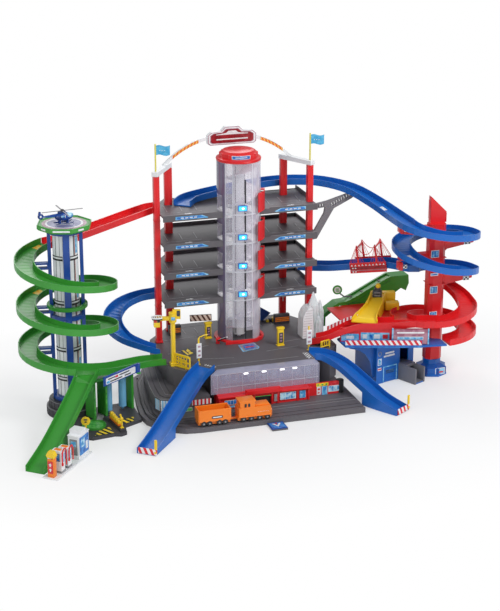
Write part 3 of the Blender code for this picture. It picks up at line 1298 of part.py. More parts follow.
def make_train():
    low = PLINTH_HEIGHT + GAP
    half = TRAIN_WIDTH / 2
    x0 = ENGINE_LEFT
    middle, wheels = bogie(x0, ENGINE_LENGTH, low)
    frame = slab((x0, x0 + ENGINE_LENGTH), (middle - half + 0.006, middle + half - 0.006),
                 (low + 0.004, low + 0.016))
    hood = slab((x0 + 0.002, x0 + ENGINE_LENGTH - 0.003), (middle - half, middle + half),
                (low + 0.014, low + 0.044))
    cab = slab((x0 + 0.006, x0 + 0.052), (middle - half + 0.001, middle + half - 0.001),
               (low + 0.04, low + 0.064))
    nose = slab((x0 + ENGINE_LENGTH - 0.006, x0 + ENGINE_LENGTH + 0.003),
                (middle - 0.014, middle + 0.014), (low + 0.008, low + 0.030))
    step = joined(frame, hood, cab, nose, *wheels)
    finish(step, "train_engine", ORANGE, 0.35, origin=(x0, middle, low))
    wagon_left = x0 - TRAIN_SPACE - WAGON_LENGTH
    middle, wheels = bogie(wagon_left, WAGON_LENGTH, low)
    frame = slab((wagon_left, wagon_left + WAGON_LENGTH), (middle - half + 0.006, middle + half - 0.006),
                 (low + 0.004, low + 0.016))
    tub = slab((wagon_left - 0.001, wagon_left + WAGON_LENGTH + 0.001), (middle - half, middle + half),
               (low + 0.014, low + 0.050))
    inside = slab((wagon_left + WALL, wagon_left + WAGON_LENGTH - WALL),
                  (middle - half + WALL, middle + half - WALL), (low + 0.018, low + 0.06))
    hook = slab((wagon_left + WAGON_LENGTH - 0.002, x0 - GAP), (middle - 0.004, middle + 0.004),
                (low + 0.006, low + 0.011))
    finish(joined(frame, cut(tub, inside), hook, *wheels), "train_wagon", ORANGE, 0.35,
           origin=(wagon_left, middle, low))


def build():
    make_plinth()
    make_deck()
    make_station()
    make_canopy()
    for side, (foot, heading) in zip(("left", "right"), make_ramps()):
        make_ramp_gate(f"ramp_gate_{side}", foot, heading)
    make_lift()
    make_screw()
    make_drive()
    for index in range(LEVELS):
        make_floor(index)
    make_columns()
    make_gates()
    make_arch()
    sky, bridge = make_tracks()
    make_truss(sky)
    make_span(bridge)
    make_chute()
    make_crane()
    make_left_base()
    make_left_tower()
    make_green_exit()
    make_diverter()
    make_wash()
    make_turntable()
    make_helicopter()
    make_fuel()
    spiral, road = make_right_tower()
    make_platform(spiral, road)
    make_rescue()
    make_rescue_extras()
    make_train()


build()
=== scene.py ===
"""The look of the toy garage: finishes for the moulded solids, and the printed and fitted detail on them."""

import math

import bpy
from mathutils import Matrix, Vector


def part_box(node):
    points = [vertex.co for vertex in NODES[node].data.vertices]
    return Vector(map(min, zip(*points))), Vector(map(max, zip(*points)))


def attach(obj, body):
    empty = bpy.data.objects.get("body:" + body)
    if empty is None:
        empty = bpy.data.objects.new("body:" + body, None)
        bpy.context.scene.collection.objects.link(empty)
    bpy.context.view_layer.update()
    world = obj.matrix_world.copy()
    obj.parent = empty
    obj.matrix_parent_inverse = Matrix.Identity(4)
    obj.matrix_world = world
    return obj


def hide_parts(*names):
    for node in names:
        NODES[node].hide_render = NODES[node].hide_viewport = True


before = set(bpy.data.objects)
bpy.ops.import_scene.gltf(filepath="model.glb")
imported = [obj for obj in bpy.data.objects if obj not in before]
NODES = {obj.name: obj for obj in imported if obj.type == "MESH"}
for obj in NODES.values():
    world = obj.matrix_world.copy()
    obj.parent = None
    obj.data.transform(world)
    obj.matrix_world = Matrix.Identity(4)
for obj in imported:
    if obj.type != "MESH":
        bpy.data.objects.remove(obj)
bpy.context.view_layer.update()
ROOT = "garage"

# Camera: heading and pitch of the photograph, distance to the middle of the set
VIEW_HEADING = -17.5
VIEW_PITCH = 19.0
CAMERA_PLACE = (-1.42386, -4.63480, 1.89116)
LENS_MM = 94.27

# Colours, as they read in the photograph
GREEN = (0.045, 0.31, 0.035)
TRACK_BLUE = (0.008, 0.13, 0.50)
DEEP_BLUE = (0.012, 0.065, 0.32)
RED = (0.76, 0.014, 0.018)
DECK_GREY = (0.115, 0.105, 0.115)
DARK_GREY = (0.055, 0.052, 0.060)
YELLOW = (0.93, 0.62, 0.02)
ORANGE = (0.90, 0.22, 0.015)
WHITE = (0.86, 0.87, 0.88)
BLACK = (0.018, 0.018, 0.020)
SKY = (0.20, 0.52, 0.80)

# How far a printed label stands off the solid that it lies on
LABEL = 0.0004
LABEL_OFF = 0.00025


# Finishes
def shader_of(name):
    finish = bpy.data.materials.new(name)
    finish.use_nodes = True
    return finish, finish.node_tree.nodes, finish.node_tree.links, finish.node_tree.nodes["Principled BSDF"]


def object_place(nodes):
    return nodes.new("ShaderNodeTexCoord").outputs["Object"]


def noise(nodes, links, place, scale, detail=3.0, rough=0.55):
    texture = nodes.new("ShaderNodeTexNoise")
    texture.inputs["Scale"].default_value = scale
    texture.inputs["Detail"].default_value = detail
    texture.inputs["Roughness"].default_value = rough
    links.new(place, texture.inputs["Vector"])
    return texture.outputs["Fac"]


def blended(nodes, links, factor, colour_a, colour_b):
    """A colour between two, each a tuple or another node's output."""
    mix = nodes.new("ShaderNodeMix")
    mix.data_type = "RGBA"
    links.new(factor, mix.inputs["Factor"])
    for socket, colour in zip((mix.inputs[6], mix.inputs[7]), (colour_a, colour_b)):
        if isinstance(colour, tuple):
            socket.default_value = (*colour, 1.0)
        else:
            links.new(colour, socket)
    return mix.outputs[2]


def maths(nodes, links, operation, a, b=None, c=None):
    step = nodes.new("ShaderNodeMath")
    step.operation = operation
    for socket, value in zip(step.inputs, (a, b, c)):
        if value is None:
            continue
        if isinstance(value, (int, float)):
            socket.default_value = value
        else:
            links.new(value, socket)
    return step.outputs[0]


def shade(colour, by):
    return tuple(min(1.0, max(0.0, c * by)) for c in colour)


def surface_grain(nodes, links, place, shader, scale, depth, distance=0.0004):
    """Fine moulding texture as bump; the grain is given back for a slight change of gloss."""
    grain = noise(nodes, links, place, scale, 4.0)
    bump = nodes.new("ShaderNodeBump")
    bump.inputs["Strength"].default_value = depth
    bump.inputs["Distance"].default_value = distance
    links.new(grain, bump.inputs["Height"])
    links.new(bump.outputs["Normal"], shader.inputs["Normal"])
    return grain


def gloss_range(nodes, links, grain, shader, middle, spread):
    links.new(maths(nodes, links, "MULTIPLY_ADD", grain, spread, middle - spread / 2),
              shader.inputs["Roughness"])


def moulded(name, colour, roughness=0.32, scale=900.0, depth=0.12, mottle=0.10):
    """Injection-moulded plastic: a slightly uneven colour, flow marks and fine grain."""
    finish, nodes, links, shader = shader_of(name)
    place = object_place(nodes)
    flow = noise(nodes, links, place, 14.0, 2.0)
    tone = blended(nodes, links, flow, shade(colour, 1.0 - mottle), shade(colour, 1.0 + mottle))
    links.new(tone, shader.inputs["Base Color"])
    grain = surface_grain(nodes, links, place, shader, scale, depth)
    gloss_range(nodes, links, grain, shader, roughness, 0.14)
    shader.inputs["Specular IOR Level"].default_value = 0.5
    return finish


def clear_moulded(name, tint, opacity=0.30, roughness=0.06, cloudy=0.10):
    """Clear plastic, thin-walled: mostly see-through, a little milky, glossy."""
    finish, nodes, links, shader = shader_of(name)
    place = object_place(nodes)
    cloud = noise(nodes, links, place, 30.0, 3.0)
    links.new(blended(nodes, links, cloud, shade(tint, 0.93), shade(tint, 1.05)), shader.inputs["Base Color"])
    rim = nodes.new("ShaderNodeLayerWeight")
    rim.inputs["Blend"].default_value = 0.35
    veil = maths(nodes, links, "MULTIPLY_ADD", cloud, cloudy, opacity - cloudy / 2)
    veil = maths(nodes, links, "MULTIPLY_ADD", rim.outputs["Facing"], 0.55, veil)
    links.new(maths(nodes, links, "MINIMUM", veil, 1.0), shader.inputs["Alpha"])
    shader.inputs["Roughness"].default_value = roughness
    shader.inputs["Coat Weight"].default_value = 0.5
    shader.inputs["Coat Roughness"].default_value = 0.05
    return finish


def striped(name, colour_a, colour_b, direction, period, share=0.5, offset=0.0, roughness=0.35):
    """Printed stripes across a direction of the set."""
    finish, nodes, links, shader = shader_of(name)
    place = object_place(nodes)
    along = nodes.new("ShaderNodeVectorMath")
    along.operation = "DOT_PRODUCT"
    links.new(place, along.inputs[0])
    along.inputs[1].default_value = direction
    phase = maths(nodes, links, "MULTIPLY_ADD", along.outputs["Value"], 1.0 / period, offset)
    second = maths(nodes, links, "GREATER_THAN", maths(nodes, links, "FRACT", phase), share)
    links.new(blended(nodes, links, second, colour_a, colour_b), shader.inputs["Base Color"])
    grain = surface_grain(nodes, links, place, shader, 1200.0, 0.05)
    gloss_range(nodes, links, grain, shader, roughness, 0.10)
    return finish


def checkered(name, colour_a, colour_b, size, roughness=0.35):
    finish, nodes, links, shader = shader_of(name)
    place = object_place(nodes)
    squares = nodes.new("ShaderNodeTexChecker")
    squares.inputs["Scale"].default_value = 1.0 / size
    squares.inputs["Color1"].default_value = (*colour_a, 1.0)
    squares.inputs["Color2"].default_value = (*colour_b, 1.0)
    links.new(place, squares.inputs["Vector"])
    links.new(squares.outputs["Color"], shader.inputs["Base Color"])
    grain = surface_grain(nodes, links, place, shader, 1200.0, 0.05)
    gloss_range(nodes, links, grain, shader, roughness, 0.10)
    return finish


def printed(name, colour_low, colour_high, scale, roughness=0.30):
    """A printed picture area: soft patches between two colours."""
    finish, nodes, links, shader = shader_of(name)
    place = object_place(nodes)
    patches = noise(nodes, links, place, scale, 1.0)
    ramp = nodes.new("ShaderNodeValToRGB")
    ramp.color_ramp.elements[0].position = 0.42
    ramp.color_ramp.elements[1].position = 0.58
    ramp.color_ramp.elements[0].color = (*colour_low, 1.0)
    ramp.color_ramp.elements[1].color = (*colour_high, 1.0)
    links.new(patches, ramp.inputs["Fac"])
    links.new(ramp.outputs["Color"], shader.inputs["Base Color"])
    grain = surface_grain(nodes, links, place, shader, 1500.0, 0.04)
    gloss_range(nodes, links, grain, shader, roughness, 0.10)
    return finish


def glowing(name, colour, strength):
    finish, nodes, links, shader = shader_of(name)
    place = object_place(nodes)
    patches = noise(nodes, links, place, 120.0, 2.0)
    tone = blended(nodes, links, patches, shade(colour, 0.8), shade(colour, 1.2))
    links.new(tone, shader.inputs["Base Color"])
    links.new(tone, shader.inputs["Emission Color"])
    shader.inputs["Emission Strength"].default_value = strength
    shader.inputs["Roughness"].default_value = 0.25
    return finish


FINISH = {
    "green": moulded("green_plastic", GREEN),
    "green_dark": moulded("dark_green_plastic", (0.03, 0.20, 0.05)),
    "track_blue": moulded("track_blue_plastic", TRACK_BLUE),
    "blue": moulded("blue_plastic", DEEP_BLUE),
    "red": moulded("red_plastic", RED),
    "deck": moulded("deck_grey_plastic", DECK_GREY, 0.5, 700.0, 0.2),
    "dark": moulded("dark_grey_plastic", DARK_GREY, 0.5, 700.0, 0.2),
    "mid_grey": moulded("mid_grey_plastic", (0.20, 0.19, 0.20), 0.45, 700.0, 0.2),
    "yellow": moulded("yellow_plastic", YELLOW),
    "orange": moulded("orange_plastic", ORANGE),
    "white": moulded("white_plastic", WHITE, 0.35, 900.0, 0.1, 0.03),
    "black": moulded("black_plastic", BLACK, 0.4),
    "rollers": moulded("roller_plastic", SKY, 0.4),
    "clear": clear_moulded("clear_plastic", (0.84, 0.80, 0.90), 0.22),
    "clear_screw": clear_moulded("clear_screw_plastic", (0.90, 0.87, 0.95), 0.80),
    "clear_shaft": clear_moulded("clear_shaft_plastic", (0.36, 0.52, 0.74), 0.50),
    "clear_ice": clear_moulded("ice_plastic", (0.88, 0.97, 1.0), 0.55),
    "clear_hood": clear_moulded("hood_plastic", (0.56, 0.56, 0.72), 0.30),
    "metal": moulded("motor_metal", (0.45, 0.45, 0.46), 0.3),
    "line": printed("printed_white", (0.75, 0.76, 0.77), (0.85, 0.86, 0.86), 90.0),
    "window": printed("printed_window", (0.05, 0.30, 0.62), (0.52, 0.80, 0.95), 60.0),
    "window_dark": printed("printed_dark_window", (0.02, 0.06, 0.14), (0.08, 0.20, 0.36), 60.0),
    "label_blue": printed("printed_blue", (0.02, 0.13, 0.48), (0.05, 0.28, 0.70), 80.0),
    "label_red": printed("printed_red", (0.60, 0.02, 0.03), (0.75, 0.05, 0.06), 80.0),
    "label_dark_red": printed("printed_dark_red", (0.26, 0.005, 0.012), (0.36, 0.012, 0.02), 60.0),
    "label_yellow": printed("printed_yellow", (0.90, 0.60, 0.02), (0.95, 0.72, 0.06), 80.0),
    "label_green": printed("printed_green", (0.05, 0.35, 0.06), (0.12, 0.50, 0.10), 80.0),
    "label_dark": printed("printed_dark", (0.02, 0.022, 0.03), (0.06, 0.065, 0.08), 80.0),
    "check": checkered("check_print", (0.02, 0.02, 0.02), (0.85, 0.85, 0.85), 0.006),
    "awning_red": striped("red_awning_print", (0.85, 0.85, 0.84), (0.70, 0.02, 0.03), (1.0, 0.0, 0.0),
                          0.012),
    "awning_blue_up": striped("blue_awning_bars", (0.30, 0.62, 0.88), (0.86, 0.88, 0.90),
                              (0.55, -0.84, 0.0), 0.0078, 0.62),
    "parapet": striped("parapet_print", (0.86, 0.86, 0.85), (0.72, 0.02, 0.04), (0.91, -0.29, 0.62),
                       0.017),
    "hazard": striped("hazard_print", (0.93, 0.66, 0.03), (0.02, 0.02, 0.02), (0.86, 0.51, 0.0), 0.0170),
    "chevron": striped("chevron_print", (0.95, 0.45, 0.03), (0.88, 0.60, 0.10), (0.78, 0.0, 0.62), 0.014),
    "clear_rib": clear_moulded("rib_plastic", (0.84, 0.84, 0.90), 0.45, cloudy=0.05),
    "flight_edge": clear_moulded("flight_edge_plastic", (0.93, 0.92, 0.97), 0.75, cloudy=0.05),
    # Darker clear finish used as painted shade on the left side of the lift tube
    "painted_shade_clear": clear_moulded("painted_shade_plastic", (0.20, 0.17, 0.27), 0.62, cloudy=0.10),
    "label_sky": printed("printed_light_blue", (0.10, 0.40, 0.70), (0.30, 0.62, 0.85), 80.0),
    "label_mauve": printed("printed_mauve", (0.40, 0.22, 0.28), (0.52, 0.34, 0.40), 60.0),
    "line_grey": printed("printed_grey", (0.24, 0.24, 0.25), (0.32, 0.32, 0.33), 90.0),
    "pole": moulded("pole_plastic", (0.75, 0.66, 0.10)),
    "flag": printed("printed_flag", (0.05, 0.36, 0.62), (0.10, 0.46, 0.72), 70.0),
    "chevron_left": striped("left_chevron_print", (0.85, 0.16, 0.02), (0.93, 0.55, 0.10),
                            (0.9, 0.0, -0.3), 0.0085, 0.62),
    "chevron_right": striped("right_chevron_print", (0.85, 0.16, 0.02), (0.93, 0.55, 0.10),
                             (0.9, 0.0, 0.3), 0.0085, 0.62),
    "gate_stripes": striped("gate_print", (0.72, 0.02, 0.03), (0.86, 0.86, 0.86), (1.0, 0.0, 0.35),
                            0.0150),
    "label_pad": printed("printed_pad", (0.20, 0.20, 0.36), (0.30, 0.30, 0.46), 60.0),
    "flyer_blue": moulded("flyer_blue_plastic", (0.018, 0.045, 0.18), 0.25),
    "hazard_wide": striped("barrier_print", (0.80, 0.62, 0.52), (0.10, 0.03, 0.02), (0.93, 0.0, 0.55),
                           0.0140, 0.55),
    "road_rail": striped("road_rail_print", (0.86, 0.86, 0.87), (0.55, 0.03, 0.05), (0.95, -0.30, 0.0),
                         0.0110),
    "label_board": printed("printed_board", (0.34, 0.12, 0.18), (0.46, 0.22, 0.28), 60.0),
    "launcher_grey": moulded("launcher_plastic", (0.17, 0.17, 0.19), 0.45, 700.0, 0.2),
    "glow": glowing("lamp_blue", (0.05, 0.45, 0.95), 1.2),
    # White glowing finish used as painted highlights: the shine on the lift lamps and the bright spots on the
    # clear hood
    "lamp": glowing("painted_highlight_white", (0.95, 0.97, 1.0), 1.6),
}

NODES_OF_FINISH = {
    "deck": ("track_base", "city_deck", "parking_floor_1", "parking_floor_2", "parking_floor_3",
             "parking_floor_4"),
    "red": ("station_front", "lift_cap", "lift_foot", "column_front_left", "column_back_left",
            "column_front_right", "column_back_right", "lift_gate_1", "lift_gate_2", "lift_gate_3",
            "lift_gate_4", "bridge_span", "red_chute", "right_mast", "red_spiral"),
    "clear_hood": ("concourse_canopy",),
    "track_blue": ("front_ramp_left", "front_ramp_right", "sky_track", "bridge_track", "loop_track",
                   "right_foot", "blue_spiral", "rescue_building", "garage_door"),
    "yellow": ("ramp_gate_left", "ramp_gate_right", "crane_post", "crane_arm", "yellow_chute"),
    "clear": ("lift_tube",),
    "clear_screw": ("lift_screw",),
    "metal": ("lift_motor",),
    "white": ("motor_pinion", "roof_arch", "fuel_station"),
    "mid_grey": ("sky_truss", "rotor"),
    "dark": ("left_base",),
    "clear_shaft": ("left_shaft",),
    "blue": ("left_frame", "diverter", "helicopter"),
    "green": ("helipad", "green_spiral", "green_exit", "wash_building", "turntable", "green_hill"),
    "rollers": ("wash_roller_1", "wash_roller_2"),
    "clear_ice": ("crystal_rock",),
    "orange": ("train_engine", "train_wagon"),
}
NODE_FINISH = {node: finish for finish, nodes in NODES_OF_FINISH.items() for node in nodes}


def dress_nodes():
    """Gives each moulded solid its finish."""
    for name, node in NODES.items():
        node.data.materials.clear()
        node.data.materials.append(FINISH[NODE_FINISH[name]])


# Making of pieces
def clear_selection():
    bpy.ops.object.select_all(action="DESELECT")


def done(name, finish, body=ROOT, smooth=30.0):
    """Finishes the active object: place applied, finish given, riding on its body."""
    piece = bpy.context.active_object
    bpy.ops.object.transform_apply(location=True, rotation=True, scale=True)
    piece.name = name
    piece.data.name = name
    piece.data.materials.clear()
    piece.data.materials.append(FINISH[finish])
    if smooth:
        bpy.ops.object.shade_smooth_by_angle(angle=math.radians(smooth))
    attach(piece, body)
    clear_selection()
    return piece


def apply_all(piece):
    for step in list(piece.modifiers):
        bpy.ops.object.modifier_apply(modifier=step.name)


def bevelled(piece, width, segments=2):
    edge = piece.modifiers.new("edge", "BEVEL")
    edge.width = width
    edge.segments = segments
    edge.limit_method = "ANGLE"
    apply_all(piece)


def set_up(point, heading=0.0, tilt=0.0, lean=0.0):
    """Place of a piece: its X along the heading, tilted up about its own Y and leaned about its own X."""
    turn = Matrix.Rotation(math.radians(heading), 4, "Z") @ Matrix.Rotation(math.radians(-tilt), 4, "Y")
    return Matrix.Translation(point) @ turn @ Matrix.Rotation(math.radians(lean), 4, "X")


def block(name, finish, place, size, shift=(0, 0, 0), bevel=0.0008, body=ROOT):
    """A box of a size in the frame of a place, its middle shifted, with rounded edges."""
    clear_selection()
    bpy.ops.mesh.primitive_cube_add(size=1.0)
    piece = bpy.context.active_object
    piece.data.transform(place @ Matrix.Translation(shift) @ Matrix.Diagonal((*size, 1.0)))
    if bevel:
        bevelled(piece, min(bevel, 0.3 * min(size)))
    return done(name, finish, body)


def sheet_of(name, finish, outline, place, thickness=LABEL, body=ROOT, bevel=0.0):
    """A flat plate with an outline in the X-Z plane of a place, its face towards -Y."""
    clear_selection()
    bpy.ops.mesh.primitive_circle_add(vertices=len(outline), radius=1.0, fill_type="NGON")
    piece = bpy.context.active_object
    for vertex, (x, z) in zip(piece.data.vertices, outline):
        vertex.co = (x, 0.0, z)
    bpy.ops.object.mode_set(mode="EDIT")
    bpy.ops.mesh.select_all(action="SELECT")
    bpy.ops.mesh.extrude_region_move(TRANSFORM_OT_translate={"value": (0, thickness, 0)})
    bpy.ops.mesh.select_all(action="SELECT")
    bpy.ops.mesh.normals_make_consistent(inside=False)
    bpy.ops.object.mode_set(mode="OBJECT")
    piece.data.transform(place)
    if bevel:
        bevelled(piece, bevel)
    return done(name, finish, body, 0)


def rounded(width, height, radius=0.001, x=0.0, z=0.0, steps=3):
    """Outline of a rectangle with round corners, about a point."""
    radius = min(radius, 0.49 * width, 0.49 * height)
    points = []
    for quarter, (sx, sz) in enumerate(((1, 1), (-1, 1), (-1, -1), (1, -1))):
        cx = x + sx * (width / 2 - radius)
        cz = z + sz * (height / 2 - radius)
        for i in range(steps + 1):
            a = math.radians(90 * quarter + 90 * i / steps)
            points.append((cx + radius * math.cos(a), cz + radius * math.sin(a)))
    return points


def label(name, finish, place, width, height, x=0.0, z=0.0, radius=0.0015, thickness=LABEL, layer=0,
          body=ROOT):
    """A printed label on a face that looks along -Y of its place. Layers lie on each other."""
    lift = Matrix.Translation((0, -LABEL_OFF - thickness * (layer + 1), 0))
    return sheet_of(name, finish, rounded(width, height, radius, x, z), place @ lift, thickness, body)


def mark(name, finish, corners, z, thickness=LABEL, body=ROOT, layer=0):
    """A printed mark on a level surface, from its outline in plan."""
    clear_selection()
    bpy.ops.mesh.primitive_circle_add(vertices=len(corners), radius=1.0, fill_type="NGON")
    piece = bpy.context.active_object
    low = z + LABEL_OFF + layer * thickness
    for vertex, (x, y) in zip(piece.data.vertices, corners):
        vertex.co = (x, y, low)
    bpy.ops.object.mode_set(mode="EDIT")
    bpy.ops.mesh.select_all(action="SELECT")
    bpy.ops.mesh.extrude_region_move(TRANSFORM_OT_translate={"value": (0, 0, thickness)})
    bpy.ops.mesh.select_all(action="SELECT")
    bpy.ops.mesh.normals_make_consistent(inside=False)
    bpy.ops.object.mode_set(mode="OBJECT")
    return done(name, finish, body, 0)


def stripe_between(a, b, width):
    """Corners of a stripe in plan from one point to another."""
    a = Vector(a)
    b = Vector(b)
    side = (b - a).normalized() * width / 2
    side = Vector((-side.y, side.x))
    return [tuple(a - side), tuple(b - side), tuple(b + side), tuple(a + side)]


def lathe(name, finish, profile, place, steps=24, body=ROOT):
    """A turned piece from (radius, height) rings; a radius of 0 closes an end."""
    clear_selection()
    first, *rest = profile
    bpy.ops.mesh.primitive_circle_add(vertices=steps, radius=max(first[0], 1e-5), fill_type="NGON",
                                      location=(0, 0, first[1]))
    piece = bpy.context.active_object
    bpy.ops.object.transform_apply(location=True, rotation=False, scale=False)
    bpy.ops.object.mode_set(mode="EDIT")
    bpy.ops.mesh.select_all(action="SELECT")
    before = first
    for radius, height in rest:
        bpy.ops.mesh.extrude_region_move(TRANSFORM_OT_translate={"value": (0, 0, height - before[1])})
        grow = max(radius, 1e-5) / max(before[0], 1e-5)
        bpy.ops.transform.resize(value=(grow, grow, 1.0), center_override=(0, 0, height))
        before = (radius, height)
    bpy.ops.mesh.select_all(action="SELECT")
    bpy.ops.mesh.remove_doubles(threshold=2e-5)
    bpy.ops.mesh.normals_make_consistent(inside=False)
    bpy.ops.object.mode_set(mode="OBJECT")
    piece.data.transform(place)
    return done(name, finish, body)


def rod(name, finish, points, radius, body=ROOT, sides=8, closed=False):
    """A round bar, wire or rim bead along points."""
    clear_selection()
    bpy.ops.curve.primitive_nurbs_path_add()
    run = bpy.context.active_object
    run.data.splines.clear()
    spline = run.data.splines.new("POLY")
    spline.points.add(len(points) - 1)
    for at, point in zip(spline.points, points):
        at.co = (*point, 1.0)
    spline.use_cyclic_u = closed
    run.data.bevel_depth = radius
    run.data.bevel_resolution = max(0, sides // 4 - 1)
    run.data.use_fill_caps = not closed
    bpy.ops.object.convert(target="MESH")
    return done(name, finish, body)


def joined_as(name, pieces):
    """Several pieces of one finish and body made one object."""
    clear_selection()
    for piece in pieces:
        piece.select_set(True)
    bpy.context.view_layer.objects.active = pieces[0]
    if len(pieces) > 1:
        bpy.ops.object.join()
    pieces[0].name = name
    pieces[0].data.name = name
    clear_selection()
    return pieces[0]


def point_on(place, x, y, z):
    return place @ Vector((x, y, z))


def moved(place, x, y, z):
    """The place shifted in its own frame."""
    return place @ Matrix.Translation((x, y, z))


# Lays the axis of a turned piece level, from up to across
ACROSS = Matrix.Rotation(math.pi / 2, 4, "X")


# Lift tube, screw and cap
FIRST_LEVEL = 0.265
LEVEL_STEP = 0.0933
LEVELS = [FIRST_LEVEL + LEVEL_STEP * i for i in range(4)]
TUBE_RADIUS = 0.068
TUBE_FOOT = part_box("lift_tube")[0].z
TUBE_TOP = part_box("lift_tube")[1].z
CORE_RADIUS = 0.0204
FLIGHT_RADIUS = 0.0618
FLIGHT_START = 0.135
FLIGHT_TURNS = 5.92
LAMP_TURN = 263.5
LAMP_SIZE = (0.030, 0.005, 0.019)
LAMP_OVER_FLOOR = 0.018


def round_wall(name, finish, radius, start, end, low, high, thickness=0.001, centre=(0.0, 0.0), body=ROOT):
    """A curved plate round a vertical axis between two directions in degrees, thickened outwards."""
    clear_selection()
    columns = max(2, int(abs(end - start) / 6))
    bpy.ops.mesh.primitive_grid_add(x_subdivisions=columns, y_subdivisions=1, size=2.0)
    piece = bpy.context.active_object
    for vertex in piece.data.vertices:
        angle = math.radians(start + (end - start) * (vertex.co.x + 1) / 2)
        height = low + (high - low) * (vertex.co.y + 1) / 2
        vertex.co = (centre[0] + radius * math.cos(angle), centre[1] + radius * math.sin(angle), height)
    wall = piece.modifiers.new("wall", "SOLIDIFY")
    wall.thickness = thickness
    wall.offset = 1.0
    apply_all(piece)
    return done(name, finish, body)


def facing(radius, direction, height, centre=(0.0, 0.0)):
    """Place on a round wall whose face looks outwards in a direction."""
    a = math.radians(direction)
    return set_up((centre[0] + radius * math.cos(a), centre[1] + radius * math.sin(a), height),
                  direction - 270.0)


def dress_lift():
    tube_low = TUBE_FOOT + 0.002
    for direction in (216, 238, 291, 314, 335):
        name = f"tube_rib_{direction}"
        round_wall(name, "clear_rib", TUBE_RADIUS + 0.0002, direction - 1.3, direction + 1.3,
                   tube_low + 0.052, TUBE_TOP - 0.001, 0.0012)
    # Darker clear sheets down the tube's left side, between the floors: painted shade on the side turned from
    # the key light
    round_wall("tube_painted_shade_strip", "painted_shade_clear", TUBE_RADIUS + 0.0002, 206, 215, tube_low, TUBE_TOP - 0.001,
               0.0016)
    lows = [tube_low] + [z + 0.054 for z in LEVELS]
    highs = [z - 0.019 for z in LEVELS] + [TUBE_TOP - 0.001]
    for i, (low, high) in enumerate(zip(lows, highs)):
        round_wall(f"tube_painted_shade_wall_{i + 1}", "painted_shade_clear", TUBE_RADIUS + 0.0002, 160, 206, low, high, 0.0012)
    for i, z in enumerate(LEVELS):
        round_wall(f"tube_collar_{i + 1}", "clear_rib", TUBE_RADIUS + 0.0003, 206, 330, z - 0.006,
                   z - 0.001, 0.0014)
        lamp = facing(TUBE_RADIUS, LAMP_TURN, z + LAMP_OVER_FLOOR)
        block(f"lift_lamp_frame_{i + 1}", "label_blue", lamp, LAMP_SIZE, (0, -0.0008, 0), 0.0012)
        label(f"lift_lamp_{i + 1}", "glow", moved(lamp, 0, -0.0034, 0), 0.024, 0.014,
              radius=0.003)
        # Small white glowing patch on each lamp: a painted highlight
        label(f"lift_lamp_painted_highlight_{i + 1}", "lamp", moved(lamp, 0, -0.0034, 0), 0.008,
              0.006, 0.001, 0.0, 0.003, layer=1)
    slit_lows = [TUBE_FOOT + 0.012] + [z + 0.034 for z in LEVELS]
    slit_highs = [z + 0.002 for z in LEVELS] + [TUBE_TOP - 0.050]
    for i, (low, high) in enumerate(zip(slit_lows, slit_highs)):
        round_wall(f"lift_slit_{i + 1}", "black", TUBE_RADIUS + 0.0003, 269.0, 272.6, low, high, 0.0008)
    steps = 24
    edge = []
    for i in range(int(FLIGHT_TURNS * steps) + 1):
        a = 2 * math.pi * i / steps
        edge.append((FLIGHT_RADIUS * math.cos(a), FLIGHT_RADIUS * math.sin(a),
                     FLIGHT_START + LEVEL_STEP * i / steps))
    rod("flight_edge", "white", edge, 0.0014, "lift_screw_body", 8)
    low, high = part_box("lift_screw")
    lathe("screw_core", "white",
          [(CORE_RADIUS, 0.1300), (CORE_RADIUS, high.z + 0.0004), (0.0, high.z + 0.0006)],
          Matrix.Identity(4), 32, "lift_screw_body")
    for i in range(4):
        a = math.radians(45 + 90 * i)
        block(f"core_rib_{i + 1}", "mid_grey",
              set_up((CORE_RADIUS * math.cos(a), CORE_RADIUS * math.sin(a), 0.41), math.degrees(a)),
              (0.0016, 0.003, 0.55), body="lift_screw_body", bevel=0.0004)
    cap_low, cap_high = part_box("lift_cap")
    round_wall("cap_label_rim", "white", 0.0600, 233, 290, cap_low.z + 0.0115, cap_low.z + 0.0235, 0.0008)
    round_wall("cap_label", "label_blue", 0.0607, 235, 288, cap_low.z + 0.0128, cap_low.z + 0.0222, 0.0005)
    round_wall("cap_label_stripe", "line", 0.0612, 244, 279, cap_low.z + 0.0165, cap_low.z + 0.0185, 0.0004)
    lathe("cap_crown", "red",
          [(0.050, cap_high.z - 0.0008), (0.050, cap_high.z + 0.0012), (0.047, cap_high.z + 0.0022),
           (0.018, cap_high.z + 0.0026), (0.016, cap_high.z + 0.0012), (0.0, cap_high.z + 0.0010)],
          Matrix.Identity(4), 36)
    lathe("cap_seam", "red",
          [(0.0706, cap_low.z + 0.0040), (0.0712, cap_low.z + 0.0050), (0.0706, cap_low.z + 0.0060),
           (0.066, cap_low.z + 0.0060), (0.066, cap_low.z + 0.0040)], Matrix.Identity(4), 40)


# Parking floors
FLOOR_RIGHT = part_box("parking_floor_1")[1].x
FLOOR_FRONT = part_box("parking_floor_1")[0].y
FASCIA_MIDDLE = -0.0070
BAY_LINES_LEFT = (-0.226, -0.178, -0.130)
BAY_LINES_RIGHT = (0.108, 0.152, 0.212)


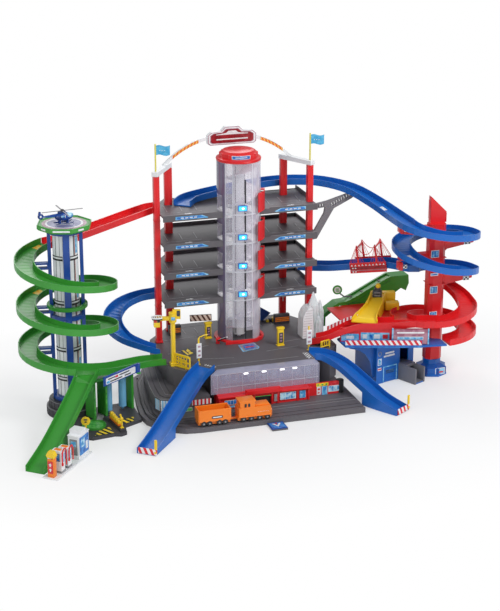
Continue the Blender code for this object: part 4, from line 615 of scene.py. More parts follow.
def dress_floor(index):
    z = LEVELS[index]
    n = index + 1
    front = set_up((0, FLOOR_FRONT, z + FASCIA_MIDDLE))
    lift = Matrix.Translation((0, -LABEL_OFF, 0))
    for side, (x0, x1) in (("left", (-0.214, -0.108)), ("right", (0.108, 0.212))):
        sign = 1 if side == "left" else -1
        a, b = (x0, x1) if side == "left" else (x1, x0)
        slant = 0.020 * sign
        rim = [(a, -0.0052), (b - 0.2 * slant, -0.0052), (b, -0.0034), (b - slant, 0.0050), (a, 0.0050)]
        inner = [(a + 0.10 * slant, -0.0036), (b - 0.5 * slant, -0.0036), (b - 1.1 * slant, 0.0036),
                 (a + 0.30 * slant, 0.0036)]
        sheet_of(f"fascia_{side}_{n}", "label_sky", rim[::sign],
                 front @ lift @ Matrix.Translation((0, -LABEL, 0)))
        sheet_of(f"fascia_{side}_panel_{n}", "label_blue", inner[::sign],
                 front @ lift @ Matrix.Translation((0, -2 * LABEL, 0)))
        for k in range(4):
            x = a + (0.022 + 0.014 * k) * sign
            sheet_of(f"fascia_{side}_dash_{n}_{k + 1}", "line", rounded(0.010, 0.0030, 0.0006, x, 0.0),
                     front @ lift @ Matrix.Translation((0, -3 * LABEL, 0)))
    for k, x in enumerate(BAY_LINES_LEFT + BAY_LINES_RIGHT):
        mark(f"bay_line_{n}_{k + 1}", "line_grey", stripe_between((x, 0.022), (x + 0.006, 0.090), 0.0022), z)
    for k, (x0, x1) in enumerate(((-0.232, -0.118), (0.104, 0.216))):
        mark(f"bay_front_{n}_{k + 1}", "line_grey", stripe_between((x0, 0.006), (x1, 0.006), 0.0018), z)
        middle = (x0 + x1) / 2
        mark(f"floor_arrow_{n}_{k + 1}", "line",
             [(middle - 0.004, -0.018), (middle + 0.010, -0.018), (middle + 0.010, -0.022),
              (middle + 0.020, -0.0155), (middle + 0.010, -0.009), (middle + 0.010, -0.013),
              (middle - 0.004, -0.013)], z)
    # The back kerbs are black as painted shade: their dark grey inner face lies in shadow
    block(f"floor_back_kerb_painted_shade_{n}", "black", set_up((0, 0, z)),
          (FLOOR_RIGHT - 0.098, 0.0026, 0.0116 if n < 4 else 0.0016),
          ((FLOOR_RIGHT + 0.092) / 2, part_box("parking_floor_1")[1].y - 0.0048,
           0.0052 if n < 4 else 0.0006), 0.0004)
    block(f"floor_lip_{n}", "mid_grey", set_up((0, 0, z)), (0.136, 0.0026, 0.0016),
          (-0.172, FLOOR_FRONT + 0.0008, 0.0034), 0.0006)
    block(f"floor_lip_right_{n}", "mid_grey", set_up((0, 0, z)), (0.152, 0.0026, 0.0016),
          (0.1745, FLOOR_FRONT + 0.0008, 0.0034), 0.0006)


def dress_columns():
    for name in ("column_front_left", "column_back_left", "column_front_right", "column_back_right"):
        low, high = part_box(name)
        middle = (low + high) / 2
        size = high - low
        for i, z in enumerate(LEVELS):
            block(f"{name}_collar_{i + 1}", "red", set_up((middle.x, middle.y, z - 0.0215)),
                  (size.x + 0.0016, size.y + 0.0016, 0.0040), bevel=0.0006)
        block(f"{name}_rib", "red", set_up((middle.x, low.y, (low.z + high.z) / 2)),
              (size.x * 0.30, 0.0012, size.z - 0.012), (0, 0.0001, 0), 0.0004)
        block(f"{name}_shoe", "red", set_up((middle.x, middle.y, low.z + 0.0040)),
              (size.x + 0.0040, size.y + 0.0040, 0.0078), bevel=0.001)
    low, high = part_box("column_back_right")
    arrow = [(-0.0016, -0.010), (0.0016, -0.010), (0.0016, 0.004), (0.0046, 0.004), (0.0, 0.011),
             (-0.0046, 0.004), (-0.0016, 0.004)]
    face = set_up(((low.x + high.x) / 2, low.y - 0.0007, 0.1935))
    sheet_of("column_arrow", "line", arrow, face)


# Arch over the tower
ARCH_MIDDLE = -0.00925
ARCH_HALF = 0.21775
ARCH_FOOT = 0.6692
ARCH_RISE = 0.090
BOARD_SHIFT = 0.012
ARCH_FACE = 0.0810
FLAG_SIZE = (0.044, 0.030)
POLES = {"left": (-0.262, 0.014), "right": (0.240, 0.012)}
POLE_TOP = 0.7650


def arch_height(x):
    share = min(1.0, abs((x - ARCH_MIDDLE) / ARCH_HALF))
    return ARCH_FOOT + ARCH_RISE * (1 - share ** 2.4) + 0.0015


def dress_arch():
    for side, (x0, x1) in (("left", (-0.190, -0.106)), ("right", (0.098, 0.172))):
        steps = 8
        xs = [x0 + (x1 - x0) * i / steps for i in range(steps + 1)]
        band = [(x, arch_height(x) - 0.0050) for x in xs]
        band += [(x, arch_height(x) + 0.0050) for x in reversed(xs)]
        sheet_of(f"arch_chevrons_{side}", f"chevron_{side}", band,
                 set_up((0, ARCH_FACE - LABEL_OFF - LABEL, 0)))
        edge = [(x, arch_height(x) + 0.0064) for x in xs]
        rod(f"arch_bead_{side}", "white", [(x, ARCH_FACE - 0.0006, z) for x, z in edge], 0.0010)
    w, h = 0.080, 0.058
    base = ARCH_FOOT + ARCH_RISE - 0.5 * h + 0.002
    outline = [(-w, 0.10 * h), (-0.9 * w, 0.0), (0.9 * w, 0.0), (w, 0.10 * h), (w, 0.55 * h),
               (0.85 * w, 0.72 * h), (0.45 * w, 0.76 * h), (0.28 * w, h), (-0.28 * w, h),
               (-0.45 * w, 0.76 * h), (-0.85 * w, 0.72 * h), (-w, 0.55 * h)]
    centre = (ARCH_MIDDLE + BOARD_SHIFT, base + 0.45 * h)
    face = set_up((centre[0], 0.0780 - LABEL_OFF - LABEL, centre[1]))

    def scaled(by_x, by_z):
        return [(x * by_x, (z - 0.45 * h) * by_z) for x, z in outline]

    sheet_of("board_rim", "label_mauve", scaled(0.985, 0.965), face)
    sheet_of("board_field", "white", scaled(0.955, 0.90), moved(face, 0, -LABEL, 0))
    sheet_of("board_inner_rim", "label_mauve", scaled(0.895, 0.79),
             moved(face, 0, -2 * LABEL, 0))
    sheet_of("board_panel", "label_dark_red", scaled(0.865, 0.72),
             moved(face, 0, -3 * LABEL, 0))
    sheet_of("board_crown", "line",
             [(-0.052, 0.0085), (-0.038, 0.0095), (-0.020, 0.0120), (-0.012, 0.0185), (0.012, 0.0185),
              (0.020, 0.0120), (0.038, 0.0095), (0.052, 0.0085), (0.052, 0.0065), (-0.052, 0.0065)][::-1],
             moved(face, 0, -4 * LABEL, 0))
    sheet_of("board_bar", "line", rounded(0.104, 0.0040, 0.002, 0, -0.0080),
             moved(face, 0, -4 * LABEL, 0))
    for side, (x, y) in POLES.items():
        lathe(f"flag_pole_{side}", "pole",
              [(0.0026, 0.6800), (0.0026, POLE_TOP), (0.0016, POLE_TOP + 0.0012),
               (0.0, POLE_TOP + 0.0014)], Matrix.Translation((x, y, 0)), 12)
        make_flag(side, x, y)


def make_flag(side, x, y):
    """A printed flag, moulded with a wave in it."""
    clear_selection()
    bpy.ops.mesh.primitive_grid_add(x_subdivisions=16, y_subdivisions=6, size=1.0)
    flag = bpy.context.active_object
    width, height = FLAG_SIZE
    for vertex in flag.data.vertices:
        u = vertex.co.x + 0.5
        v = vertex.co.y + 0.5
        wave = 0.0030 * math.sin(6.3 * u) * u
        vertex.co = (x + 0.0022 + u * width, y + wave,
                     POLE_TOP - 0.004 - height + v * height - 0.0035 * u + 0.0018 * math.sin(7.0 * u))
    wall = flag.modifiers.new("wall", "SOLIDIFY")
    wall.thickness = 0.0007
    wall.offset = 0.0
    apply_all(flag)
    done(f"flag_{side}", "flag", smooth=60)
    for k in range(3):
        ends = []
        for j in range(2):
            u = 0.24 + 0.17 * k + 0.08 * j
            ends.append((x + 0.012 + 0.0075 * k + 0.0035 * j, y + 0.0030 * math.sin(6.3 * u) * u - 0.0004,
                         POLE_TOP - 0.004 - height * 0.52 - 0.0035 * (0.24 + 0.17 * k)))
        rod(f"flag_{side}_print_{k + 1}", "line", ends, 0.0009)


# Top of the deck: fences, signs, pumps and printed marks
DECK_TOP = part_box("city_deck")[1].z
PLINTH_TOP = 0.016


def between(a, b, z):
    """Place at a point in plan, its X towards another point; its face looks right of that way."""
    heading = math.degrees(math.atan2(b[1] - a[1], b[0] - a[0]))
    return set_up((a[0], a[1], z), heading), math.dist(a, b)


def fence(name, a, b, z, height, bars):
    """A moulded railing: feet, two rails and upright bars."""
    place, length = between(a, b, z)
    parts = []
    for k, x in enumerate((0.002, length - 0.002)):
        parts.append(block(f"{name}_post_{k}", "yellow", place, (0.0034, 0.0030, height), (x, 0, height / 2)))
    for k, up in enumerate((0.30 * height, height - 0.0015)):
        parts.append(block(f"{name}_rail_{k}", "yellow", place, (length, 0.0032, 0.0032),
                           (length / 2, 0, up)))
    for k in range(bars):
        x = length * (k + 1) / (bars + 1)
        parts.append(block(f"{name}_bar_{k}", "yellow", place, (0.0020, 0.0022, 0.68 * height),
                           (x, 0, 0.64 * height), 0.0005))
    joined_as(name, parts)


def sign_post(name, x, y, low, board, top, heading, arm=0.0):
    """A yellow post with a printed white board, and an arm at its top where it has one."""
    place = set_up((x, y, low), heading)
    width, start, height = board
    parts = [block(f"{name}_pole", "yellow", place, (0.0044, 0.0044, top), (0, 0.002, top / 2)),
             block(f"{name}_shoe", "yellow", place, (0.0090, 0.0090, 0.0024), (0, 0.002, 0.0012))]
    if arm:
        arch = [(0, 0.002, top - 0.001), (0.003, 0.002, top + 0.004), (arm * 0.5, 0.002, top + 0.008),
                (arm, 0.002, top + 0.009)]
        parts.append(rod(f"{name}_arm", "yellow", [point_on(place, *p) for p in arch], 0.0018))
    joined_as(name, parts)
    block(f"{name}_board", "white", place, (width, 0.0028, height), (0, -0.0008, start + height / 2), 0.0010)
    face = moved(place, 0, -0.0022, start + height / 2)
    marks = [label(f"{name}_mark_{k}", "label_mauve", face, 0.5 * width, 0.13 * height, 0.0, z, 0.0010,
                   layer=1)
             for k, z in enumerate((-0.30 * height, 0.0, 0.30 * height))]
    joined_as(f"{name}_marks", marks)
    label(f"{name}_frame", "line", face, 0.86 * width, 0.92 * height)


def fuel_pump(name, x, y, heading, height, width):
    """A yellow post pump with a dark printed panel."""
    place = set_up((x, y, DECK_TOP), heading)
    block(f"{name}_body", "yellow", place, (width, 0.012, height), (0, 0.006, height / 2), 0.0022)
    block(f"{name}_foot", "yellow", place, (width + 0.004, 0.016, 0.003), (0, 0.006, 0.0015), 0.0010)
    block(f"{name}_cap", "yellow", place, (width + 0.004, 0.015, 0.0075), (0, 0.006, height - 0.004), 0.0030)
    face = moved(place, 0, 0, 0.44 * height)
    label(f"{name}_panel", "label_dark", face, 0.64 * width, 0.56 * height, 0, 0)
    marks = [label(f"{name}_mark_{k}", "label_mauve", face, 0.36 * width, 0.09 * height, 0, z, layer=1)
             for k, z in enumerate((-0.16 * height, 0.0, 0.16 * height))]
    joined_as(f"{name}_marks", marks)


ROAD_LINES = (((-0.262, -0.098), (-0.120, -0.060)), ((-0.180, -0.170), (-0.075, -0.190)),
              ((0.040, -0.165), (0.150, -0.150)), ((-0.150, -0.240), (0.120, -0.240)),
              ((0.120, -0.100), (0.235, -0.085)), ((-0.200, 0.130), (-0.060, 0.130)),
              ((0.080, 0.130), (0.190, 0.130)), ((-0.262, 0.020), (-0.120, 0.030)))


def dress_deck():
    z = DECK_TOP
    fence("left_fence", (-0.270, -0.182), (-0.2425, -0.2440), z, 0.029, 6)
    fence("right_fence", (0.206, -0.2035), (0.2425, -0.1905), z, 0.028, 4)
    sign_post("left_sign", -0.194, -0.214, z, (0.0170, 0.0215, 0.0480), 0.084, 8, 0.030)
    sign_post("right_sign", 0.1697, -0.1966, z, (0.0180, 0.0200, 0.0480), 0.080, 4)
    fuel_pump("left_pump", -0.1015, -0.001, 6, 0.056, 0.0200)
    fuel_pump("right_pump", 0.0987, -0.1326, 4, 0.062, 0.0210)
    lines = [mark(f"road_line_{k}", "line_grey", stripe_between(a, b, 0.0022), z)
             for k, (a, b) in enumerate(ROAD_LINES)]
    joined_as("road_lines", lines)
    mark("left_arrow_ground", "label_dark",
         [(-0.2194, -0.0720), (-0.2094, -0.1460), (-0.1756, -0.1138), (-0.1889, -0.0560)], z)
    yellow = [mark(f"left_arrow_{k}", "label_yellow", corners, z, layer=1) for k, corners in enumerate((
        [(-0.2130, -0.0800), (-0.2065, -0.1280), (-0.2010, -0.1220), (-0.2060, -0.0820)],
        [(-0.1990, -0.1220), (-0.1840, -0.1130), (-0.1900, -0.0990), (-0.1990, -0.1060)],
        [(-0.2010, -0.0880), (-0.1990, -0.1020), (-0.1880, -0.0950), (-0.1920, -0.0720)]))]
    joined_as("left_arrow", yellow)
    decal = [(-0.0305, -0.0891), (0.0252, -0.0792), (0.0300, -0.1249), (0.0230, -0.1349), (-0.0327, -0.1496)]
    middle = (sum(p[0] for p in decal) / 5, sum(p[1] for p in decal) / 5)

    def shrunk(share):
        return [(middle[0] + share * (x - middle[0]), middle[1] + share * (y - middle[1])) for x, y in decal]

    mark("deck_field_rim", "label_sky", shrunk(1.0)[::-1], z)
    mark("deck_field", "line_grey", shrunk(0.86)[::-1], z, layer=1)
    mark("deck_field_inner", "label_blue", shrunk(0.66)[::-1], z, layer=2)
    mark("deck_field_bar", "label_red",
         [(x * 0.7 + middle[0] * 0.3, y * 0.22 + middle[1] * 0.78) for x, y in shrunk(0.7)][::-1], z,
         layer=3)
    tray = [(-0.0641, -0.0730), (0.0365, -0.0735), (0.0600, -0.0560), (0.0735, 0.0204)]
    walls = []
    for k, (a, b) in enumerate(zip(tray, tray[1:])):
        place, length = between(a, b, z)
        walls.append(block(f"tray_wall_{k}", "red", place, (length + 0.003, 0.0034, 0.0120),
                           (length / 2, 0, 0.0060)))
    walls.append(block("tray_floor", "red", set_up((0.0, -0.0722, z)), (0.066, 0.006, 0.0016),
                       (0, 0.002, 0.0008), 0.0004))
    joined_as("lift_tray", walls)
    slope = set_up((-0.082, -0.060, z), -38, 24)
    block("tray_barrier", "white", slope, (0.034, 0.0090, 0.0030), (0.017, 0, 0.014))
    block("tray_barrier_edge", "black", slope, (0.034, 0.0020, 0.0036), (0.017, -0.0052, 0.014), 0.0005)
    block("tray_barrier_red", "red", set_up((-0.086, -0.052, z), -20), (0.012, 0.012, 0.020),
          (0, 0, 0.010), 0.0020)
    for name, x, width in (("right", 0.168, 0.052), ("left", -0.196, 0.040)):
        spot = set_up((x, 0.0700, z))
        block(f"{name}_column_block", "dark", spot, (width, 0.016, 0.0330), (0, 0, 0.0165), 0.0015)
        bars = [block(f"{name}_column_bar_{k}", "orange", spot, (width - 0.004, 0.0020, 0.0036),
                      (0, -0.0086, up), 0.0006)
                for k, up in enumerate((0.0110, 0.0165, 0.0220))]
        joined_as(f"{name}_column_bars", bars)
    for name, corners in (("left",
                           [(-0.1830, -0.2240), (-0.1530, -0.2560), (-0.1480, -0.2480),
                            (-0.1760, -0.2150)]),
                          ("right",
                           [(0.1420, -0.2140), (0.1590, -0.2140), (0.1590, -0.2640), (0.1420, -0.2640)])):
        mark(f"ramp_start_{name}", "check", corners[::-1] if name == "right" else corners, z)
    wing = [(0.0900, 0.1800), (0.0900, DECK_TOP + 0.0004), (0.1180, DECK_TOP + 0.0004), (0.1450, 0.1440)]
    sheet_of("rear_wing", "blue", wing[::-1], set_up((0, 0.112, 0)), 0.0040, bevel=0.0008)
    step = [block(f"rear_step_{k}", "yellow" if k % 2 else "dark", set_up((0.118 + 0.010 * k, 0.098, z)),
                  (0.009, 0.014, 0.004 + 0.003 * k), (0, 0, 0.002 + 0.0015 * k))
            for k in range(4)]
    joined_as("rear_steps_yellow", [step[1], step[3]])
    joined_as("rear_steps_dark", [step[0], step[2]])
    # Short parking lines at the back of the deck
    squares = [mark(f"parking_square_{k}", "line_grey", stripe_between((x, 0.060), (x, 0.110), 0.0020),
                    z)
               for k, x in enumerate((-0.160, -0.120, 0.096, 0.136))]
    joined_as("parking_squares", squares)


# Station, shops and the clear hood
STATION_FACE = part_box("station_front")[0].y
SHOP_FACE = -0.318
TERRACE_FACE = -0.326


def window_row(name, face, x0, x1, z0, z1, panes, frame_finish="line", pane_finish="window"):
    """A printed window band with its frame and panes."""
    width, height = x1 - x0, z1 - z0
    label(f"{name}_frame", frame_finish, face, width, height, (x0 + x1) / 2, (z0 + z1) / 2, 0.0008)
    each = (width - 0.0012 * (panes + 1)) / panes
    glass = []
    for k in range(panes):
        x = x0 + 0.0012 + each / 2 + k * (each + 0.0012)
        glass.append(label(f"{name}_pane_{k}", pane_finish, face, each, height - 0.0030, x, (z0 + z1) / 2,
                           0.0005, layer=1))
    joined_as(f"{name}_panes", glass)


def dress_station():
    face = set_up((0, STATION_FACE, 0))
    window_row("left_window", face, -0.1515, -0.1132, 0.0300, 0.0455, 4, "line", "label_blue")
    window_row("right_window", face, 0.0255, 0.0769, 0.0263, 0.0496, 6)
    window_row("side_window", face, 0.0885, 0.1081, 0.0251, 0.0492, 2, "label_sky")
    label("station_plate", "line_grey", face, 0.0110, 0.0240, 0.0125, 0.0360)
    label("station_low_label", "label_sky", face, 0.0300, 0.0060, -0.132, 0.0240)
    door = set_up((-0.0285, STATION_FACE + 0.009, 0))
    # Black sheet set back in the doorway: painted shade inside the door
    label("door_painted_shade", "black", door, 0.0520, 0.0440, 0.0, 0.0390, 0.0005)
    block("door_head", "label_green", set_up((-0.0285, STATION_FACE, 0)), (0.0530, 0.0016, 0.0022),
          (0, -0.0002, 0.0462), 0.0004)
    posts = [block(f"door_post_{k}", "red", set_up((x, STATION_FACE, 0)), (0.0040, 0.0030, 0.0450),
                   (0, -0.0010, 0.0385))
             for k, x in enumerate((-0.0570, 0.0000))]
    joined_as("door_posts", posts)
    roof = []
    for k, (x0, x1) in enumerate(((-0.172, -0.084), (0.030, 0.126))):
        roof.append(block(f"station_eave_{k}", "red", set_up((0, STATION_FACE - 0.0016, 0.0560)),
                          (x1 - x0, 0.0100, 0.0042), ((x0 + x1) / 2, 0, 0), 0.0016))
    gable = [(-0.0900, 0.0560), (0.0340, 0.0560), (0.0300, 0.0606), (0.0220, 0.0688), (0.0150, 0.0700),
             (-0.0720, 0.0700), (-0.0790, 0.0688), (-0.0860, 0.0606)]
    roof.append(sheet_of("station_gable_trim", "red", gable, set_up((0, STATION_FACE - 0.0062, 0)),
                         0.0040, bevel=0.0010))
    joined_as("station_eaves", roof)
    ribs = [block(f"station_pilaster_{k}", "red", face, (0.0050, 0.0020, 0.0380), (x, -0.0006, 0.0360))
            for k, x in enumerate((-0.165, -0.1010, 0.0190, 0.0830, 0.1185))]
    joined_as("station_pilasters", ribs)
    shop = set_up((0, SHOP_FACE, 0))
    label("shop_sign_yellow", "label_yellow", shop, 0.0400, 0.0110, 0.1715, 0.0500)
    for k, x in enumerate((0.158, 0.1715, 0.185)):
        label(f"shop_sign_mark_{k}", "label_green", shop, 0.0060, 0.0050, x, 0.0500, layer=1)
    label("shop_sign_red", "label_red", shop, 0.0330, 0.0110, 0.2095, 0.0500)
    label("shop_door", "line", shop, 0.0130, 0.0270, 0.1600, 0.0310)
    label("shop_door_red", "label_red", shop, 0.0070, 0.0060, 0.1600, 0.0360, layer=1)
    label("shop_door_low", "label_red", shop, 0.0070, 0.0040, 0.1600, 0.0240, layer=1)
    label("shop_blue", "label_sky", shop, 0.0190, 0.0310, 0.1790, 0.0300)
    label("shop_blue_pane", "label_blue", shop, 0.0100, 0.0120, 0.1790, 0.0360, layer=1)
    window_row("shop_window", shop, 0.1915, 0.2285, 0.0230, 0.0430, 4)
    lathe("shop_end", "black", [(0.0120, 0.0168), (0.0120, 0.0560), (0.0105, 0.0572), (0.0, 0.0574)],
          Matrix.Translation((0.2330, -0.3090, 0)), 20)
    terrace = set_up((0, TERRACE_FACE, 0))
    label("awning", "awning_red", terrace, 0.0600, 0.0170, -0.2180, 0.0440)
    # Dark strip under the awning: painted shadow cast by the awning
    label("awning_painted_shadow", "label_dark", terrace, 0.0600, 0.0040, -0.2180, 0.0330)
    window_row("terrace_shop", terrace, -0.2760, -0.2480, PLINTH_TOP + 0.0022, 0.0300, 2, "line",
               "label_green")
    label("terrace_sign", "label_sky", terrace, 0.0300, 0.0100, -0.2080, 0.0230)
    for k, x in enumerate((-0.290, -0.284, -0.278)):
        label(f"terrace_mark_{k}", "label_mauve", terrace, 0.0036, 0.0080, x, 0.0440)
    corner = set_up((-0.3310, -0.3190, 0), -28.0)
    label("corner_awning", "awning_blue_up", corner, 0.0250, 0.0340, 0.0, 0.0410)
    side, length = between((-0.3530, -0.2850), (-0.3440, -0.3120), 0)
    label("corner_awning_side", "awning_blue_up", side, 0.0240, 0.0340, length / 2, 0.0410)
    low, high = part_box("concourse_canopy")
    beads = []
    for k, up in enumerate((low.z + 0.020, high.z - 0.0016)):
        beads.append(rod(f"hood_bead_{k}", "clear_rib",
                         [(low.x + 0.012, low.y - 0.0002, up), (high.x - 0.004, low.y - 0.0002, up)],
                         0.0007))
    for k in range(9):
        x = -0.165 + 0.040 * k
        beads.append(rod(f"hood_rib_{k}", "clear_rib",
                         [(x, low.y - 0.0002, low.z + 0.001), (x, low.y - 0.0002, high.z - 0.001)],
                         0.0006))
    joined_as("hood_beads", beads)
    front = set_up((0, low.y, 0))
    # Four white glowing patches near the top of the clear hood: painted highlights
    for k, x in enumerate((-0.074, -0.016, 0.042, 0.083)):
        label(f"hood_painted_highlight_{k}", "lamp", front, 0.0150, 0.0050, x, high.z - 0.0060, 0.0024)
    platform = set_up((0, -0.2705, 0))
    window_row("concourse_windows", platform, -0.140, 0.150, 0.068, 0.100, 9, "line_grey", "window")


def dress_plinth():
    """Grooved kerbs, rails, the entry plate and the terrace steps."""
    outer = [(-0.324, -0.020), (-0.338, -0.110), (-0.350, -0.215), (-0.353, -0.285), (-0.344, -0.312),
             (-0.318, -0.326)]
    for k, (share, up, finish) in enumerate(((0.0, 0.0622, "mid_grey"), (0.016, 0.0622, "black"),
                                             (0.034, 0.0622, "mid_grey"), (0.050, 0.0622, "black"))):
        line = [(x + share, y + share * (0.75 if i > 3 else 0.15), up) for i, (x, y) in enumerate(outer)]
        rod(f"terrace_bead_{k}", finish, line, 0.0014 if finish == "mid_grey" else 0.0010, sides=8)
    ledge = [(-0.318, 0.020), (-0.350, -0.045), (-0.366, -0.120), (-0.380, -0.215), (-0.385, -0.300),
             (-0.376, -0.342), (-0.352, -0.374), (-0.318, -0.390)]
    for k, share in enumerate((0.0, 0.012)):
        rod(f"plinth_bead_{k}", "black",
            [(x + share, y + share * 0.3, PLINTH_TOP + 0.0002) for x, y in ledge], 0.0010)
    for k, y in enumerate((-0.3660, -0.3850)):
        rod(f"platform_line_{k}", "mid_grey",
            [(-0.300, y, PLINTH_TOP + 0.0003), (0.258, y, PLINTH_TOP + 0.0003)], 0.0009)
    block("entry_frame", "blue", set_up((-0.028, -0.4795, 0.0040)), (0.050, 0.050, 0.0012),
          (0, 0, 0.0004), 0.0005)
    mark("entry_field", "label_blue",
         [(-0.0490, -0.5010), (-0.0070, -0.5010), (-0.0070, -0.4600), (-0.0490, -0.4600)], 0.0052)
    mark("entry_mark", "line",
         [(-0.0420, -0.4660), (-0.0280, -0.4900), (-0.0140, -0.4660), (-0.0200, -0.4660),
          (-0.0280, -0.4800), (-0.0360, -0.4660)][::-1], 0.0052, layer=1)
    mark("entry_mark_red", "label_red",
         [(-0.0330, -0.4640), (-0.0280, -0.4730), (-0.0230, -0.4640)][::-1], 0.0052, layer=2)


# Train
def dress_train():
    low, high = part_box("train_engine")
    body = "train_engine_body"
    y0, y1 = low.y, high.y
    side = set_up((0, y0 + 0.001, 0))
    windows = [label(f"cab_window_{k}", "black", side, 0.0062, 0.0110, low.x + x, 0.0680, body=body,
                     layer=1)
               for k, x in enumerate((0.0220, 0.0330))]
    joined_as("cab_windows", windows)
    block("cab_roof", "orange", set_up((low.x + 0.029, (y0 + y1) / 2, high.z)),
          (0.052, y1 - y0 - 0.0010, 0.0044), (0, 0, -0.0010), 0.0018, body)
    block("cab_front_window", "black", set_up((low.x + 0.0524, (y0 + y1) / 2, 0.0705)),
          (0.0010, 0.026, 0.0090), (0, 0, 0), 0.0003, body)
    louvres = [label(f"hood_louvre_{k}", "line", side, 0.0024, 0.0012, low.x + 0.062 + 0.0050 * k, 0.0440,
                     body=body, layer=1)
               for k in range(7)]
    joined_as("hood_louvres", louvres)
    block("hood_step", "orange", set_up((low.x + 0.076, (y0 + y1) / 2, 0.0604)), (0.044, 0.030, 0.0060),
          (0, 0, 0.0020), 0.0016, body)
    rails = [rod(f"engine_rail_{k}", "orange", [(low.x + 0.004, y, 0.0320), (high.x - 0.006, y, 0.0320)],
                 0.0014, body)
             for k, y in enumerate((y0 - 0.0002, y1 + 0.0002))]
    joined_as("engine_rails", rails)
    lamps = [lathe(f"engine_lamp_{k}", "line",
                   [(0.0024, 0.0), (0.0024, 0.0012), (0.0018, 0.0018), (0.0, 0.0019)],
                   Matrix.Translation((high.x - 0.0030, (y0 + y1) / 2 + dy,
                                       0.0440)) @ Matrix.Rotation(math.pi / 2, 4, "Y"), 12, body)
             for k, dy in enumerate((-0.012, 0.012))]
    joined_as("engine_lamps", lamps)
    train_wheels("engine", low, (0.016, 0.040, 0.066, 0.090), body)
    low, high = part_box("train_wagon")
    body = "train_wagon_body"
    side = set_up((0, low.y, 0))
    label("wagon_plate", "label_dark", side, 0.0340, 0.0080, (low.x + high.x) / 2 - 0.004, 0.0430, 0.0030,
          body=body)
    label("wagon_plate_mark", "line", side, 0.0280, 0.0028, (low.x + high.x) / 2 - 0.004, 0.0430, 0.0012,
          body=body, layer=1)
    posts = [block(f"wagon_rib_{k}", "orange", side, (0.0030, 0.0014, 0.0330), (low.x + x, 0.0, 0.0480),
                   0.0005, body)
             for k, x in enumerate((0.004, 0.0940))]
    joined_as("wagon_ribs", posts)
    rim = [(low.x + 0.001, low.y + 0.001, high.z), (low.x + 0.099, low.y + 0.001, high.z),
           (low.x + 0.099, high.y - 0.001, high.z), (low.x + 0.001, high.y - 0.001, high.z)]
    rod("wagon_rim", "orange", rim, 0.0013, body, closed=True)
    train_wheels("wagon", low, (0.016, 0.034, 0.064, 0.082), body)


def train_wheels(name, low, spots, body):
    """Black wheels with pale hubs standing in front of the solid's own."""
    tyres, hubs = [], []
    for k, x in enumerate(spots):
        for j, (y, turn) in enumerate(((low.y + 0.0030, 1), (low.y + 0.0410, -1))):
            place = Matrix.Translation((low.x + x, y,
                                        PLINTH_TOP + 0.0088)) @ Matrix.Rotation(turn * math.pi / 2, 4, "X")
            tyres.append(lathe(f"{name}_tyre_{k}_{j}", "black",
                               [(0.0080, -0.0010), (0.0084, 0.0), (0.0084, 0.0030), (0.0060, 0.0038),
                                (0.0, 0.0036)], place, 16, body))
            hubs.append(lathe(f"{name}_hub_{k}_{j}", "line_grey",
                              [(0.0030, 0.0030), (0.0028, 0.0042), (0.0, 0.0044)], place, 10, body))
    joined_as(f"{name}_tyres", tyres)
    joined_as(f"{name}_hubs", hubs)


# Prints that lie on sloping solids
def drape(name, finish, node, line, width, above, body=ROOT, across=4, off=LABEL_OFF):
    """A printed strip lying on a solid under a line of points in plan, found from a height above."""
    clear_selection()
    bpy.ops.mesh.primitive_grid_add(x_subdivisions=2 * len(line), y_subdivisions=across, size=2.0)
    piece = bpy.context.active_object
    points = [Vector(p) for p in line]
    last = len(points) - 1
    for vertex in piece.data.vertices:
        share = (vertex.co.x + 1) / 2 * last
        i = min(int(share + 1e-6), last - 1)
        here = points[i].lerp(points[i + 1], share - i)
        before = points[min(i + 1, last)] - points[max(i - 1, 0)]
        after = points[min(i + 2, last)] - points[i]
        run = before.normalized().lerp(after.normalized(), share - i)
        side = Vector((-run.y, run.x)).normalized() * (vertex.co.y * width / 2)
        start = Vector((here.x + side.x, here.y + side.y, above))
        hit, place, _, _ = NODES[node].ray_cast(start, Vector((0, 0, -1)))
        vertex.co = (start.x, start.y, (place.z if hit else above) + off)
    wall = piece.modifiers.new("wall", "SOLIDIFY")
    wall.thickness = LABEL
    wall.offset = 1.0
    apply_all(piece)
    bpy.context.view_layer.objects.active = piece
    return done(name, finish, body, 0)


def loop_line(centre, radius, depth, start, end, steps=8):
    """Points in plan along a spiral between two directions in degrees."""
    points = []
    for i in range(steps + 1):
        a = math.radians(start + (end - start) * i / steps)
        points.append((centre[0] + radius * math.cos(a), centre[1] + radius * depth * math.sin(a)))
    return points


def ring_of(radius, steps=24, centre=(0.0, 0.0), turn=0.0):
    points = []
    for i in range(steps):
        a = 2 * math.pi * i / steps + math.radians(turn)
        points.append((centre[0] + radius * math.cos(a), centre[1] + radius * math.sin(a)))
    return points


def blob(name, finish, place, size, centre, body=ROOT):
    """A rounded lump with half sizes about a centre in the frame of a place."""
    clear_selection()
    bpy.ops.mesh.primitive_uv_sphere_add(segments=20, ring_count=12, radius=1.0)
    piece = bpy.context.active_object
    piece.data.transform(place @ Matrix.Translation(centre) @ Matrix.Diagonal((*size, 1.0)))
    return done(name, finish, body, 60)


# Left tower
LEFT_CENTRE = (-0.588, -0.175)
LEFT_LOOP = 0.1225
SHAFT_RADIUS = 0.037
SHAFT_BANDS = (0.490, 0.352, 0.205, 0.112)
PAD_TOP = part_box("helipad")[1].z - 0.001
EYE_HEADING = VIEW_HEADING


